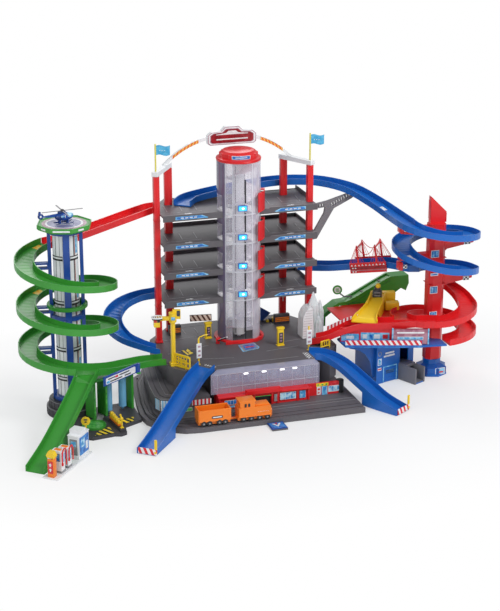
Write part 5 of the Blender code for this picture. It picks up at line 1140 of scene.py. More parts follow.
def dress_left_tower():
    low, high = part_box("left_shaft")
    for name, finish, start, end in (("left", "white", -178, -112),
                                     ("left_grey", "line_grey", -150, -146),
                                     ("left_line", "line_grey", -128, -126), ("right", "white", -82, -16),
                                     ("right_black", "black", -62, -58),
                                     ("right_dark", "label_dark_red", -56, -53)):
        step = 0.0002 if name in ("left", "right") else 0.0008
        round_wall(f"shaft_panel_{name}", finish, SHAFT_RADIUS + step, start, end, low.z + 0.014,
                   high.z - 0.016, 0.0004, LEFT_CENTRE)
    for i, z in enumerate(SHAFT_BANDS):
        for j, (finish, up, tall) in enumerate(
            (("black", 0.0, 0.0055), ("line", 0.0056, 0.0050), ("black", 0.0107, 0.0030))):
            for side, (start, end) in (("left", (-176, -114)), ("right", (-80, -30))):
                round_wall(f"shaft_band_{side}_{i}_{j}", finish, SHAFT_RADIUS + 0.0013, start, end,
                           z + up, z + up + tall, 0.0004, LEFT_CENTRE)
        round_wall(f"shaft_window_{i}", "label_sky", SHAFT_RADIUS + 0.0008, -50, -36, z + 0.020,
                   z + 0.070, 0.0004, LEFT_CENTRE)
        round_wall(f"shaft_pane_{i}", "window", SHAFT_RADIUS + 0.0008, -108, -84, z + 0.022, z + 0.062,
                   0.0004, LEFT_CENTRE)
    lathe("tower_ring", "green",
          [(0.0505, 0.338), (0.0600, 0.3385), (0.0610, 0.3400), (0.0610, 0.3480), (0.0600, 0.3495),
           (0.0505, 0.350), (0.0505, 0.338)], Matrix.Translation((*LEFT_CENTRE, 0)), 32)
    ribs = []
    for k in range(26):
        a = 2 * math.pi * k / 26
        for radius, up, tall in ((0.0730, 0.0125, 0.021), (0.0650, 0.0375, 0.017)):
            spot = set_up((LEFT_CENTRE[0] + radius * math.cos(a), LEFT_CENTRE[1] + radius * math.sin(a),
                           up), math.degrees(a))
            ribs.append(block(f"foot_rib_{k}_{tall}", "dark", spot, (0.0020, 0.0040, tall), bevel=0))
    joined_as("foot_ribs", ribs)
    rings = [lathe(f"foot_bead_{k}", "mid_grey",
                   [(r - 0.001, z - 0.0012), (r + 0.0008, z - 0.0006), (r + 0.0008, z + 0.0006),
                    (r - 0.001, z + 0.0012)], Matrix.Translation((*LEFT_CENTRE, 0)), 36)
             for k, (r, z) in enumerate(((0.0730, 0.0250), (0.0645, 0.0470)))]
    joined_as("foot_beads", rings)
    for k, (start, end, level) in enumerate(((113, 124, 0.520), (475, 487, 0.385))):
        drape(f"track_grate_{k}", "chevron", "green_spiral",
              loop_line(LEFT_CENTRE, LEFT_LOOP, 1.0, start, end), 0.036, level)
    for k, (start, end, level) in enumerate(((322, 340, 0.425), (690, 706, 0.300), (240, 250, 0.470))):
        drape(f"track_print_{k}", "label_green", "green_spiral",
              loop_line(LEFT_CENTRE, LEFT_LOOP, 1.0, start, end), 0.020, level)


def dress_helipad():
    for k, (radius, finish) in enumerate(((0.0660, "label_mauve"), (0.0560, "line"), (0.0500, "label_pad"))):
        mark(f"pad_ring_{k}", finish, ring_of(radius, 32, LEFT_CENTRE), PAD_TOP - 0.0001, 0.0001, layer=k)
    for k, across in enumerate((-0.014, 0.014)):
        mark(f"pad_bar_{k}", "line",
             stripe_between((LEFT_CENTRE[0] - 0.024, LEFT_CENTRE[1] + across),
                            (LEFT_CENTRE[0] + 0.024, LEFT_CENTRE[1] + across), 0.006), PAD_TOP - 0.0001,
             0.0001, layer=3)
    corners = ring_of(0.0812, 8, LEFT_CENTRE, 5.0)
    rod("pad_rim", "green", [(x, y, PAD_TOP + 0.0010) for x, y in corners], 0.0022, closed=True)
    edge = 0.083 * math.cos(math.pi / 8) + 0.0001
    for k, direction in enumerate((-107.5, -62.5, -152.5)):
        label(f"pad_lamp_{k}", "line", facing(edge, direction, PAD_TOP - 0.0045, LEFT_CENTRE),
              0.050 if k == 0 else 0.020, 0.0052)


def dress_helicopter():
    place = set_up((LEFT_CENTRE[0] - 0.004, LEFT_CENTRE[1], PAD_TOP + 0.0003), 6.0)
    blob("cockpit", "window", place, (0.0170, 0.0110, 0.0092), (0.0162, 0, 0.0226))
    blob("cabin_side", "flyer_blue", place, (0.0250, 0.0116, 0.0110), (0.0010, 0, 0.0195))
    block("engine_cowl", "flyer_blue", place, (0.024, 0.010, 0.0070), (-0.002, 0, 0.0330), 0.0024)
    block("cabin_window", "window", place, (0.010, 0.0236, 0.0060), (-0.002, 0, 0.0225), 0.0010)
    block("cabin_pillar", "white", place, (0.0016, 0.0238, 0.0090), (0.0050, 0, 0.0225), 0.0004)
    rim = [point_on(place, -0.0660 + 0.0072 * math.cos(a), 0, 0.0270 + 0.0072 * math.sin(a))
           for a in (2 * math.pi * i / 16 for i in range(16))]
    rod("tail_rotor_ring", "flyer_blue", rim, 0.0020, closed=True)
    lathe("tail_rotor_hub", "white", [(0.0030, -0.0030), (0.0030, 0.0030), (0.0, 0.0034)],
          moved(place, -0.066, 0, 0.0270) @ ACROSS, 14)
    block("tail_fin", "flyer_blue", set_up(point_on(place, -0.0690, 0, 0.0370), 6.0, -14),
          (0.0070, 0.0020, 0.0100), (0, 0, 0), 0.0008)
    skids = []
    for side in (-0.0118, 0.0118):
        skids.append(rod(f"skid_{side}", "flyer_blue",
                         [point_on(place, x, side, z)
                          for x, z in ((-0.024, 0.0016), (0.026, 0.0016), (0.031, 0.0044))], 0.0013))
    joined_as("skids", skids)
    low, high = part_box("rotor")
    lathe("rotor_cap", "dark",
          [(0.0054, low.z + 0.0010), (0.0054, high.z + 0.0004), (0.0034, high.z + 0.0020),
           (0.0, high.z + 0.0024)], Matrix.Translation((LEFT_CENTRE[0] - 0.004, LEFT_CENTRE[1], 0)), 16,
          "rotor_body")


# Wash bay, diverter and ramp gates
PLATE_TOP = 0.010
DIVIDER_START = (-0.477, -0.396)
DIVIDER_HEADING = 99.0
DIVIDER_TOP = 0.016
DIVERTER_FAR = (-0.5271, -0.3750)


def dress_wash():
    mark("hazard_field", "hazard",
         [(-0.5646, -0.4040), (-0.5050, -0.3980), (-0.5107, -0.3521), (-0.5500, -0.3760)], PLATE_TOP)
    mark("start_field", "hazard",
         [(-0.4600, -0.3420), (-0.4300, -0.3290), (-0.4228, -0.2985), (-0.4491, -0.3083),
          (-0.4640, -0.3200)], PLATE_TOP)
    mark("bay_field", "line_grey",
         [(-0.5350, -0.2900), (-0.5180, -0.2960), (-0.4900, -0.2200), (-0.5060, -0.2140)], PLATE_TOP)
    rail = set_up((*DIVIDER_START, DIVIDER_TOP + 0.0003), DIVIDER_HEADING)
    bumps, skirts = [], []
    for k in range(5):
        tall = 0.0150 + 0.0018 * k
        bumps.append(block(f"queue_step_{k}", "yellow", rail, (0.0130, 0.0110, tall),
                           (0.034 + 0.0142 * k, 0, tall / 2), 0.0030))
        skirts.append(block(f"queue_skirt_{k}", "orange", rail, (0.0136, 0.0120, 0.0070),
                            (0.034 + 0.0142 * k, 0, 0.0035), 0.0008))
    joined_as("queue_steps", bumps)
    joined_as("queue_skirts", skirts)
    pointer = [block("pointer_foot", "yellow", rail, (0.010, 0.010, 0.003), (0.012, 0, 0.0015)),
               rod("pointer_pole", "yellow",
                   [point_on(rail, *p)
                    for p in ((0.012, 0, 0.002), (0.012, 0, 0.030), (0.013, 0.004, 0.044))], 0.0026),
               rod("pointer_arms", "yellow",
                   [point_on(rail, *p)
                    for p in ((0.004, -0.014, 0.018), (0.012, 0, 0.026), (0.022, 0.012, 0.030))], 0.0026),
               blob("pointer_head", "yellow", rail, (0.0050, 0.0050, 0.0050), (0.012, 0, 0.030))]
    joined_as("pointer", pointer)
    post = set_up((-0.5895, -0.3985, PLATE_TOP + 0.0003), EYE_HEADING)
    joined_as("round_sign_post",
              [rod("round_pole", "yellow", [point_on(post, 0, 0, z) for z in (0.0, 0.038)], 0.0022),
               block("round_foot", "yellow", post, (0.010, 0.010, 0.003), (0, 0, 0.0015))])
    lathe("round_sign", "yellow",
          [(0.0125, -0.0018), (0.0135, -0.0008), (0.0135, 0.0012), (0.0122, 0.0020), (0.0, 0.0020)],
          moved(post, 0, 0, 0.0480) @ ACROSS, 28)
    for k, (x, z, w, h) in enumerate(((0.0, 0.0525, 0.0110, 0.0040), (0.0, 0.0455, 0.0070, 0.0040))):
        label(f"round_sign_mark_{k}", "label_dark", moved(post, 0, -0.0020, 0), w, h, x, z)
    wash = set_up((-0.5490, -0.2635, 0), 21.0)
    beam = moved(wash, 0, -0.0230, 0)
    label("wash_beam_line", "label_green", beam, 0.120, 0.0050, 0.0725, 0.1310)
    joined_as("wash_bolts",
              [lathe(f"wash_bolt_{k}", "green",
                     [(0.0030, 0.0), (0.0030, 0.0014), (0.0018, 0.0022), (0.0, 0.0022)],
                     moved(wash, x, -0.0230, 0.1200) @ ACROSS, 12)
               for k, x in enumerate((0.0045, 0.046, 0.1405))])
    for k, x in enumerate((0.0045, 0.046)):
        label(f"wash_post_panel_{k}", "label_green", moved(wash, 0, -0.0227, 0), 0.0050,
              0.080, x, 0.062)
    centre = (-0.551, -0.330)
    lathe("turntable_rim", "green",
          [(0.0360, 0.0125), (0.0360, 0.0148), (0.0345, 0.0152), (0.0335, 0.0140), (0.0335, 0.0125)],
          Matrix.Translation((*centre, 0)), 36, "turntable_body")
    mark("turntable_field", "label_green", ring_of(0.028, 28, centre), 0.0130, 0.0002, "turntable_body")


DIVERTER_MARKS = ((0.030, 0.0045, 0.030), (0.085, 0.0045, 0.044), (0.050, -0.0045, 0.052),
                  (0.100, -0.0045, 0.026))


def dress_diverter():
    body = "diverter_body"
    low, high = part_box("diverter")
    face = set_up((DIVERTER_FAR[0], DIVERTER_FAR[1], (low.z + high.z) / 2),
                  34.5) @ Matrix.Translation((0, -0.0026, 0))
    label("diverter_plate", "line", face, 0.128, 0.0200, 0.070, 0.0, 0.004, body=body)
    joined_as("diverter_marks",
              [label(f"diverter_mark_{k}", "label_dark", face, w, 0.0034, x, z, 0.0008, layer=1,
                     body=body)
               for k, (x, z, w) in enumerate(DIVERTER_MARKS)])
    label("diverter_mark_red", "label_red", face, 0.012, 0.0060, 0.052, 0.0040, 0.0010, layer=1, body=body)
    label("diverter_mark_blue", "label_sky", face, 0.014, 0.0080, 0.016, -0.0040, 0.0010, layer=1, body=body)
    top = set_up((DIVERTER_FAR[0], DIVERTER_FAR[1], high.z), 34.5)
    block("diverter_rail", "blue", top, (0.146, 0.0070, 0.0030), (0.074, 0, 0.0004), 0.0010, body)


def dress_ramp_gates():
    for side, pin, heading in (("left", (-0.4256, -0.5760), 141.67), ("right", (0.3921, -0.4792), -147.0)):
        body = f"ramp_gate_{side}_body"
        bar = set_up((*pin, 0.0), heading)
        block(f"{side}_gate_sleeve", "gate_stripes", bar, (0.0590, 0.0042, 0.0180), (0.0252, 0, 0.0117),
              0.0012, body)
        block(f"{side}_gate_tail", "yellow", bar, (0.0082, 0.0044, 0.0300), (-0.0005, 0, 0.0355), 0.0014,
              body)
        lathe(f"{side}_gate_pin", "yellow",
              [(0.0036, -0.0036), (0.0036, 0.0036), (0.0022, 0.0044), (0.0, 0.0044)],
              moved(bar, 0, 0, 0.0115) @ ACROSS, 14, body)


# Fuel station beside the ramp
FUEL_PLACE = set_up((-0.742, -0.638, 0), 50.0)


def dress_fuel():
    def end_face(x):
        return FUEL_PLACE @ Matrix.Translation((x, 0, 0)) @ Matrix.Rotation(-math.pi / 2, 4, "Z")

    def side_face(across):
        return FUEL_PLACE @ Matrix.Translation((0, across, 0))

    block("price_post", "orange", FUEL_PLACE, (0.0172, 0.0200, 0.0560), (0.014, 0, 0.0315), 0.0016)
    lathe("price_head", "yellow",
          [(0.0135, -0.0080), (0.0145, -0.0070), (0.0145, 0.0070), (0.0135, 0.0080), (0.0, 0.0080)],
          moved(FUEL_PLACE, 0.014, 0, 0.0680) @ Matrix.Rotation(-math.pi / 2, 4, "Y"), 6)
    face = end_face(0.0052)
    label("price_panel", "label_red", face, 0.0160, 0.0360, 0.0, 0.0340)
    arrows = [sheet_of(f"price_arrow_{k}", "line",
                       [(-0.0050, z), (0.0, z + 0.0050), (0.0050, z), (0.0020, z), (0.0020, z - 0.0050),
                        (-0.0020, z - 0.0050), (-0.0020, z)], moved(face, 0, -0.0013, 0))
              for k, z in enumerate((0.0270, 0.0420))]
    joined_as("price_arrows", arrows)
    for k, (x, top) in enumerate(((0.050, 0.070), (0.088, 0.064))):
        block(f"pump_cap_{k}", "orange", FUEL_PLACE, (0.0110, 0.0200, 0.0040), (x, 0, top), 0.0014)
        block(f"pump_foot_{k}", "line_grey", FUEL_PLACE, (0.0230, 0.0330, 0.0060), (x, 0, 0.0070), 0.0014)
        face = end_face(x - 0.0100)
        label(f"pump_screen_rim_{k}", "line_grey", face, 0.0220, 0.0240, 0.0, top - 0.0200)
        label(f"pump_screen_{k}", "label_blue", face, 0.0180, 0.0200, 0.0, top - 0.0200, layer=1)
        label(f"pump_screen_light_{k}", "window", face, 0.0120, 0.0070, 0.0, top - 0.0170, layer=2)
        side = side_face(-0.0150)
        label(f"pump_side_{k}", "label_sky", side, 0.0120, 0.0260, x, top - 0.0230)
        arch = [(x - 0.006, -0.0160, 0.030), (x - 0.006, -0.0175, top - 0.006),
                (x - 0.002, -0.0185, top + 0.003), (x + 0.007, -0.0190, top + 0.005),
                (x + 0.013, -0.0185, top - 0.004), (x + 0.014, -0.0175, 0.022)]
        rod(f"pump_hose_{k}", "red", [point_on(FUEL_PLACE, *p) for p in arch], 0.0019)
        block(f"pump_nozzle_{k}", "red", FUEL_PLACE, (0.0060, 0.0050, 0.0090),
              (x - 0.006, -0.0165, 0.030), 0.0012)
    side = side_face(-0.0180)
    label("charger_field", "label_blue", side, 0.0520, 0.0540, 0.168, 0.0420, 0.003)
    label("charger_light", "window", side, 0.0200, 0.0260, 0.160, 0.0500, 0.002, layer=1)
    label("charger_mark", "line", side, 0.0120, 0.0240, 0.182, 0.0360, 0.002, layer=1)
    face = end_face(0.138)
    label("charger_end", "line_grey", face, 0.0240, 0.0480, 0.0, 0.0400)
    label("charger_end_light", "label_sky", face, 0.0160, 0.0160, 0.0, 0.0500, layer=1)
    block("charger_roof", "white", FUEL_PLACE, (0.0640, 0.0370, 0.0040), (0.168, 0, 0.0740), 0.0014)


# Bridge span with its cables
SPAN_START = (0.388, 0.034, 0.306)
SPAN_END = (0.494, -0.042, 0.326)
SPAN_SHIFT = 0.014
SPAN_LENGTH = 0.122
SPAN_HALF = 0.0375
SPAN_RAIL = 0.0200
SPAN_TOP = 0.0775


def span_place():
    """Frame of the bridge: X along the track that it carries."""
    start, end = Vector(SPAN_START), Vector(SPAN_END)
    run = end - start
    heading = math.degrees(math.atan2(run.y, run.x))
    climb = math.degrees(math.atan2(run.z, run.xy.length))
    return set_up(start + run.normalized() * SPAN_SHIFT, heading, climb)


SPAN_STUDS = ((0.010, 0.0030), (0.019, 0.0030), (0.010, -0.0090), (0.019, -0.0090))


def dress_bridge():
    place = span_place()
    towers = (0.25 * SPAN_LENGTH, 0.75 * SPAN_LENGTH)
    wires = []
    for side in (-1, 1):
        y = side * (SPAN_HALF + 0.0012)

        def at(x, z):
            return point_on(place, x, y, z)

        middle = []
        for i in range(9):
            share = i / 8
            x = towers[0] + (towers[1] - towers[0]) * share
            middle.append((x, SPAN_TOP - 0.030 * (1 - (2 * share - 1) ** 2)))
        route = [(0.002, SPAN_RAIL + 0.001), *middle, (SPAN_LENGTH - 0.002, SPAN_RAIL + 0.001)]
        wires.append(rod(f"span_cable_{side}", "red", [at(x, z) for x, z in route], 0.0012))
        for k, tower in enumerate(towers):
            for j, reach in enumerate((-0.024, -0.016, -0.008, 0.010, 0.019)):
                lean = reach if k == 0 else -reach
                wires.append(rod(f"span_stay_{side}_{k}_{j}", "red",
                                 [at(tower, SPAN_TOP - 0.004), at(tower + lean, SPAN_RAIL)], 0.0007,
                                 sides=4))
    joined_as("span_cables", wires)
    face = moved(place, 0, -SPAN_HALF - 0.0005, 0)
    label("span_band_dark", "label_dark_red", face, SPAN_LENGTH - 0.004, 0.0090, SPAN_LENGTH / 2, 0.0030,
          0.0005)
    label("span_band_low", "label_mauve", face, SPAN_LENGTH - 0.004, 0.0022, SPAN_LENGTH / 2, -0.0050, 0.0005)
    gaps = [sheet_of(f"span_gap_{k}", "line", [(x - 0.0036, 0.0098), (x, 0.0160), (x + 0.0036, 0.0098)],
                     moved(face, 0, -LABEL, 0))
            for k, x in enumerate((0.008 + 0.0118 * i for i in range(10)))]
    joined_as("span_gaps", gaps)
    studs = [sheet_of(f"span_stud_{k}", "line", rounded(0.0050, 0.0042, 0.001, x, z),
                      moved(face, 0, -LABEL * 2, 0))
             for k, (x, z) in enumerate(SPAN_STUDS)]
    joined_as("span_studs", studs)


# Strut between the garage and the sky track, with its row of holes
def dress_truss():
    low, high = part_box("sky_truss")
    start = (0.2503, 0.0120)
    heading = math.degrees(math.atan2(high.y - 0.003 - start[1], high.x - start[0]))
    length = (high.x - start[0]) / math.cos(math.radians(heading)) - 0.012
    base, top = low.z + 0.116, high.z
    outline = [(0, base - 0.015), (0, base + 0.001), (0.055, base + 0.005), (length - 0.012, top),
               (length + 0.012, top), (length + 0.012, top - 0.014), (length - 0.001, top - 0.020),
               (0.082, base - 0.024), (0.066, base - 0.046), (0.016, base - 0.116), (0, base - 0.116),
               (0, base - 0.096), (0.044, base - 0.034), (0.048, base - 0.015)]
    place = set_up((*start, 0), heading)
    plate = sheet_of("truss_plate", "mid_grey", outline, moved(place, 0, -0.003, 0), 0.006)
    slope = math.degrees(math.atan2(top - 0.020 - base + 0.024, length - 0.083))
    holes = []
    for i in range(8):
        x = 0.076 + 0.0094 * i
        z = base - 0.0095 + (x - 0.075) * math.tan(math.radians(slope))
        spot = moved(place, x, 0, z) @ Matrix.Rotation(math.radians(-slope), 4, "Y")
        holes.append(block(f"truss_hole_{i}", "mid_grey", spot, (0.0048, 0.02, 0.0125), bevel=0))
    for i in range(4):
        holes.append(block(f"truss_window_{i}", "mid_grey",
                           moved(place, 0.0100 + 0.0100 * i, 0, base - 0.0070),
                           (0.0062, 0.02, 0.0088), bevel=0))
    cutter = joined_as("truss_holes", holes)
    clear_selection()
    bpy.context.view_layer.objects.active = plate
    plate.select_set(True)
    cut = plate.modifiers.new("holes", "BOOLEAN")
    cut.object = cutter
    cut.operation = "DIFFERENCE"
    cut.solver = "EXACT"
    apply_all(plate)
    clear_selection()
    bpy.data.objects.remove(cutter)
    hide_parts("sky_truss")


# Prints on the tracks
RIGHT_CENTRE = (0.589, -0.200)
RIGHT_LOOP = 0.1125
LOOP_DEPTH = 0.86


def dress_tracks():
    for k, (start, end, level) in enumerate(((212, 224, 0.535), (344, 356, 0.490), (556, 570, 0.450),
                                             (704, 716, 0.375), (566, 578, 0.450))):
        drape(f"loop_print_{k}", "label_sky" if k % 2 else "line", "blue_spiral",
              loop_line(RIGHT_CENTRE, RIGHT_LOOP, LOOP_DEPTH, start, end), 0.022, level)
    drape("bridge_print", "chevron_right", "bridge_track",
          [(0.262, 0.120), (0.285, 0.108), (0.312, 0.088), (0.334, 0.070)], 0.016, 0.340)
    drape("bridge_arrow", "orange", "bridge_track", [(0.334, 0.070), (0.350, 0.058)], 0.007, 0.340)
    drape("sky_print_1", "line", "sky_track", [(0.452, -0.060), (0.460, -0.082)], 0.024, 0.570)
    drape("sky_print_2", "label_sky", "sky_track", [(0.366, 0.080), (0.382, 0.064)], 0.018, 0.600)
    drape("loop_track_print", "line", "loop_track",
          [(-0.366, -0.0535), (-0.345, -0.0610), (-0.322, -0.0640)], 0.010, 0.200)
    drape("red_dash_1", "line", "red_spiral", loop_line(RIGHT_CENTRE, 0.133, LOOP_DEPTH, 262, 266),
          0.0040, 0.225)
    drape("red_dash_2", "line", "red_spiral", loop_line(RIGHT_CENTRE, 0.133, LOOP_DEPTH, 270, 274),
          0.0040, 0.225)


# Crane on the corner of the deck
CRANE_PLACE = (-0.271, -0.1975)


def dress_crane():
    body = "crane_arm_body"
    low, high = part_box("crane_arm")
    arm = set_up((*CRANE_PLACE, low.z + 0.012), 172.0)
    tray = [(0.034, -0.012), (0.048, -0.015), (0.062, -0.010), (0.062, 0.010), (0.048, 0.015), (0.034, 0.012)]
    ring = [point_on(arm, x, y, 0.0170) for x, y in tray]
    rod("crane_tray_rim", "white", ring, 0.0022, body, closed=True)
    rod("crane_tray_edge", "black", [p + Vector((0, 0, -0.0030)) for p in ring], 0.0022, body, closed=True)
    block("crane_tray", "label_dark", arm, (0.024, 0.020, 0.0030), (0.048, 0, 0.0155), 0.0006, body)
    for k, x in enumerate((0.042, 0.049, 0.056)):
        block(f"crane_tray_bar_{k}", "line", arm, (0.0030, 0.018, 0.0012), (x, 0, 0.0175), 0.0003, body)
    block("crane_box_red", "label_red", arm, (0.0090, 0.0208, 0.0100), (0.0535, 0, 0.0080), 0.0008, body)
    block("crane_box_grey", "dark", arm, (0.0090, 0.0208, 0.0100), (0.0440, 0, 0.0080), 0.0008, body)
    lathe("crane_head_cap", "yellow",
          [(0.0124, high.z - 0.0115), (0.0124, high.z - 0.0100), (0.0080, high.z - 0.0082),
           (0.0, high.z - 0.0080)], Matrix.Translation((*CRANE_PLACE, 0)), 24, body)
    face = set_up((*CRANE_PLACE, low.z + 0.026), EYE_HEADING) @ Matrix.Translation((0, -0.0122, 0))
    label("crane_head_light", "label_sky", face, 0.0120, 0.0100, 0.002, 0.0, 0.0015, 0.0008, body=body)
    wing = set_up((*CRANE_PLACE, low.z + 0.012), -20.0)
    label("crane_wing_mark", "label_dark", moved(wing, 0, -0.0030, 0), 0.0100, 0.0180,
          0.0180, 0.0280, 0.002, body=body)
    post_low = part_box("crane_post")[0]
    ribs = [block("crane_rib_front", "yellow", set_up((*CRANE_PLACE, 0)), (0.0040, 0.0020, 0.130),
                  (0, -0.0064, 0.192), 0.0006),
            block("crane_foot_step", "yellow", set_up((*CRANE_PLACE, 0)), (0.0210, 0.0200, 0.0040),
                  (0.0005, 0, post_low.z + 0.0085), 0.0010)]
    joined_as("crane_ribs", ribs)
    fence = set_up((*CRANE_PLACE, post_low.z), -54.0)
    rails = [rod("crane_fence_rim", "yellow",
                 [point_on(fence, *p)
                  for p in ((0.008, 0, 0.041), (0.058, 0, 0.041), (0.065, 0, 0.036), (0.065, 0, 0.004))],
                 0.0022),
             rod("crane_fence_foot", "yellow",
                 [point_on(fence, *p) for p in ((0.008, 0, 0.0030), (0.065, 0, 0.0030))], 0.0020)]
    joined_as("crane_fence_rails", rails)


# Platform, road and rescue building on the right
def ribbon(name, finish, points, thickness=0.001, body=ROOT):
    """An upright strip along points in plan, each with its low and high edge."""
    clear_selection()
    bpy.ops.mesh.primitive_grid_add(x_subdivisions=3 * len(points), y_subdivisions=1, size=2.0)
    piece = bpy.context.active_object
    last = len(points) - 1
    for vertex in piece.data.vertices:
        share = (vertex.co.x + 1) / 2 * last
        i = min(int(share + 1e-6), last - 1)
        x, y, low, high = (a + (b - a) * (share - i) for a, b in zip(points[i], points[i + 1]))
        vertex.co = (x, y, low + (high - low) * (vertex.co.y + 1) / 2)
    wall = piece.modifiers.new("wall", "SOLIDIFY")
    wall.thickness = thickness
    wall.offset = 0.0
    apply_all(piece)
    return done(name, finish, body, 40)


ROAD_LINE = [(0.240, -0.158, 0.140), (0.288, -0.182, 0.168), (0.335, -0.195, 0.184),
             (0.390, -0.2135, 0.186), (0.455, -0.239, 0.190)]
ROAD_HALF = 0.0295
RIM_HEIGHT = 0.016
FACE_HEADING = 16.76
PARAPET_HEADING = -17.54
LAUNCHER = set_up((0.480, -0.212, 0), -64.0)


def beside(line, offset, low, high):
    """The line moved to its left, with the heights of a strip over it."""
    out = []
    for i, (x, y, z) in enumerate(line):
        a = line[max(i - 1, 0)]
        b = line[min(i + 1, len(line) - 1)]
        run = Vector((b[0] - a[0], b[1] - a[1])).normalized()
        out.append((x - run.y * offset, y + run.x * offset, z + low, z + high))
    return out


def dress_barrier():
    """Striped height barrier on the left ticket post."""
    spot = set_up((-0.1024, 0.0045, DECK_TOP + 0.0540), EYE_HEADING, 3.0)
    block("height_barrier", "hazard_wide", spot, (0.0680, 0.0040, 0.0200), (-0.0220, 0, 0.0160), 0.0006)
    block("height_barrier_rim", "mid_grey", spot, (0.0700, 0.0034, 0.0220), (-0.0220, 0.0014, 0.0160), 0.0008)


def dress_road():
    ribbon("road_stripes", "road_rail",
           beside(ROAD_LINE[:3], ROAD_HALF, RIM_HEIGHT - 0.0005, RIM_HEIGHT + 0.0120), 0.0024)
    sign = set_up((0.350, 0.0365, 0.228), EYE_HEADING)
    lathe("round_green_sign", "green",
          [(0.0150, -0.0016), (0.0158, -0.0008), (0.0158, 0.0010), (0.0148, 0.0018), (0.0, 0.0018)],
          sign @ ACROSS, 28)
    lathe("round_green_disc", "line", [(0.0105, 0.0), (0.0105, 0.0006), (0.0, 0.0006)],
          moved(sign, 0, -0.0018, 0) @ ACROSS, 24)
    for k, (x, z, w) in enumerate(((0.0, 0.0035, 0.010), (0.0015, -0.0030, 0.012))):
        label(f"round_green_mark_{k}", "label_green", moved(sign, 0, -0.0026, 0), w,
              0.0034, x, z)
    rod("green_sign_arm", "mid_grey",
        [point_on(sign, 0.004, 0.004, -0.010), point_on(sign, 0.022, 0.003, -0.024),
         (0.398, 0.026, 0.2040)], 0.0026)
    hill = [(0.300, 0.0, 0.167, 0.171), (0.337, 0.0, 0.192, 0.196), (0.368, 0.0, 0.194, 0.198),
            (0.400, 0.0, 0.207, 0.211), (0.470, 0.0, 0.242, 0.246), (0.522, 0.0, 0.267, 0.270)]
    ribbon("hill_edge", "green", [(x, y - 0.0004, low, high) for x, y, low, high in hill], 0.0030)
    ribbon("hill_line", "green_dark",
           [(x, y - 0.0008, low - 0.012, low - 0.010) for x, y, low, high in hill[2:]], 0.0010)
    ribbon("hill_line_low", "green_dark", [(x, y - 0.0008, 0.190, 0.192) for x, y, _, _ in hill[2:5]], 0.0010)
    for k, (x, y, z) in enumerate(((0.430, 0.024, 0.219), (0.490, 0.024, 0.250))):
        block(f"hill_socket_{k}", "black", set_up((x, y, z), 0, 26), (0.0060, 0.0200, 0.0020), bevel=0.0004)


def dress_rock():
    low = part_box("crystal_rock")[0]
    ramp = set_up((low.x - 0.0006, low.y - 0.0006, low.z + 0.0005))
    slope = [(0.0, 0.0), (0.0385, 0.0), (0.0360, 0.0620), (0.0330, 0.1010), (0.0200, 0.1000),
             (0.0090, 0.0880), (0.0020, 0.0700)]
    sheet_of("snow_ramp", "white", slope, ramp, 0.0500, bevel=0.0012)
    lines = [label(f"snow_line_{k}", "line_grey", ramp, 0.0300 - 0.0016 * max(k - 5, 0), 0.0007,
                   0.0170 + 0.0009 * max(k - 5, 0), 0.0080 + 0.0085 * k, 0.0002)
             for k in range(11)]
    joined_as("snow_lines", lines)
    peaks = []
    for k, (x, y, size, height) in enumerate(((0.229, -0.064, 0.0224, 0.1462),
                                              (0.251, -0.062, 0.0164, 0.1164),
                                              (0.240, -0.082, 0.0144, 0.0704))):
        for j in range(3):
            a = math.radians(-150 + 40 * j + 12 * k)
            foot = (x + size * math.cos(a), y + size * math.sin(a), low.z + 0.004)
            waist = (x + 0.85 * size * math.cos(a), y + 0.85 * size * math.sin(a), low.z + 0.7 * height)
            peaks.append(rod(f"ice_edge_{k}_{j}", "flight_edge",
                             [foot, waist, (x, y, low.z + height - 0.001)], 0.0008, sides=4))
    joined_as("ice_edges", peaks)


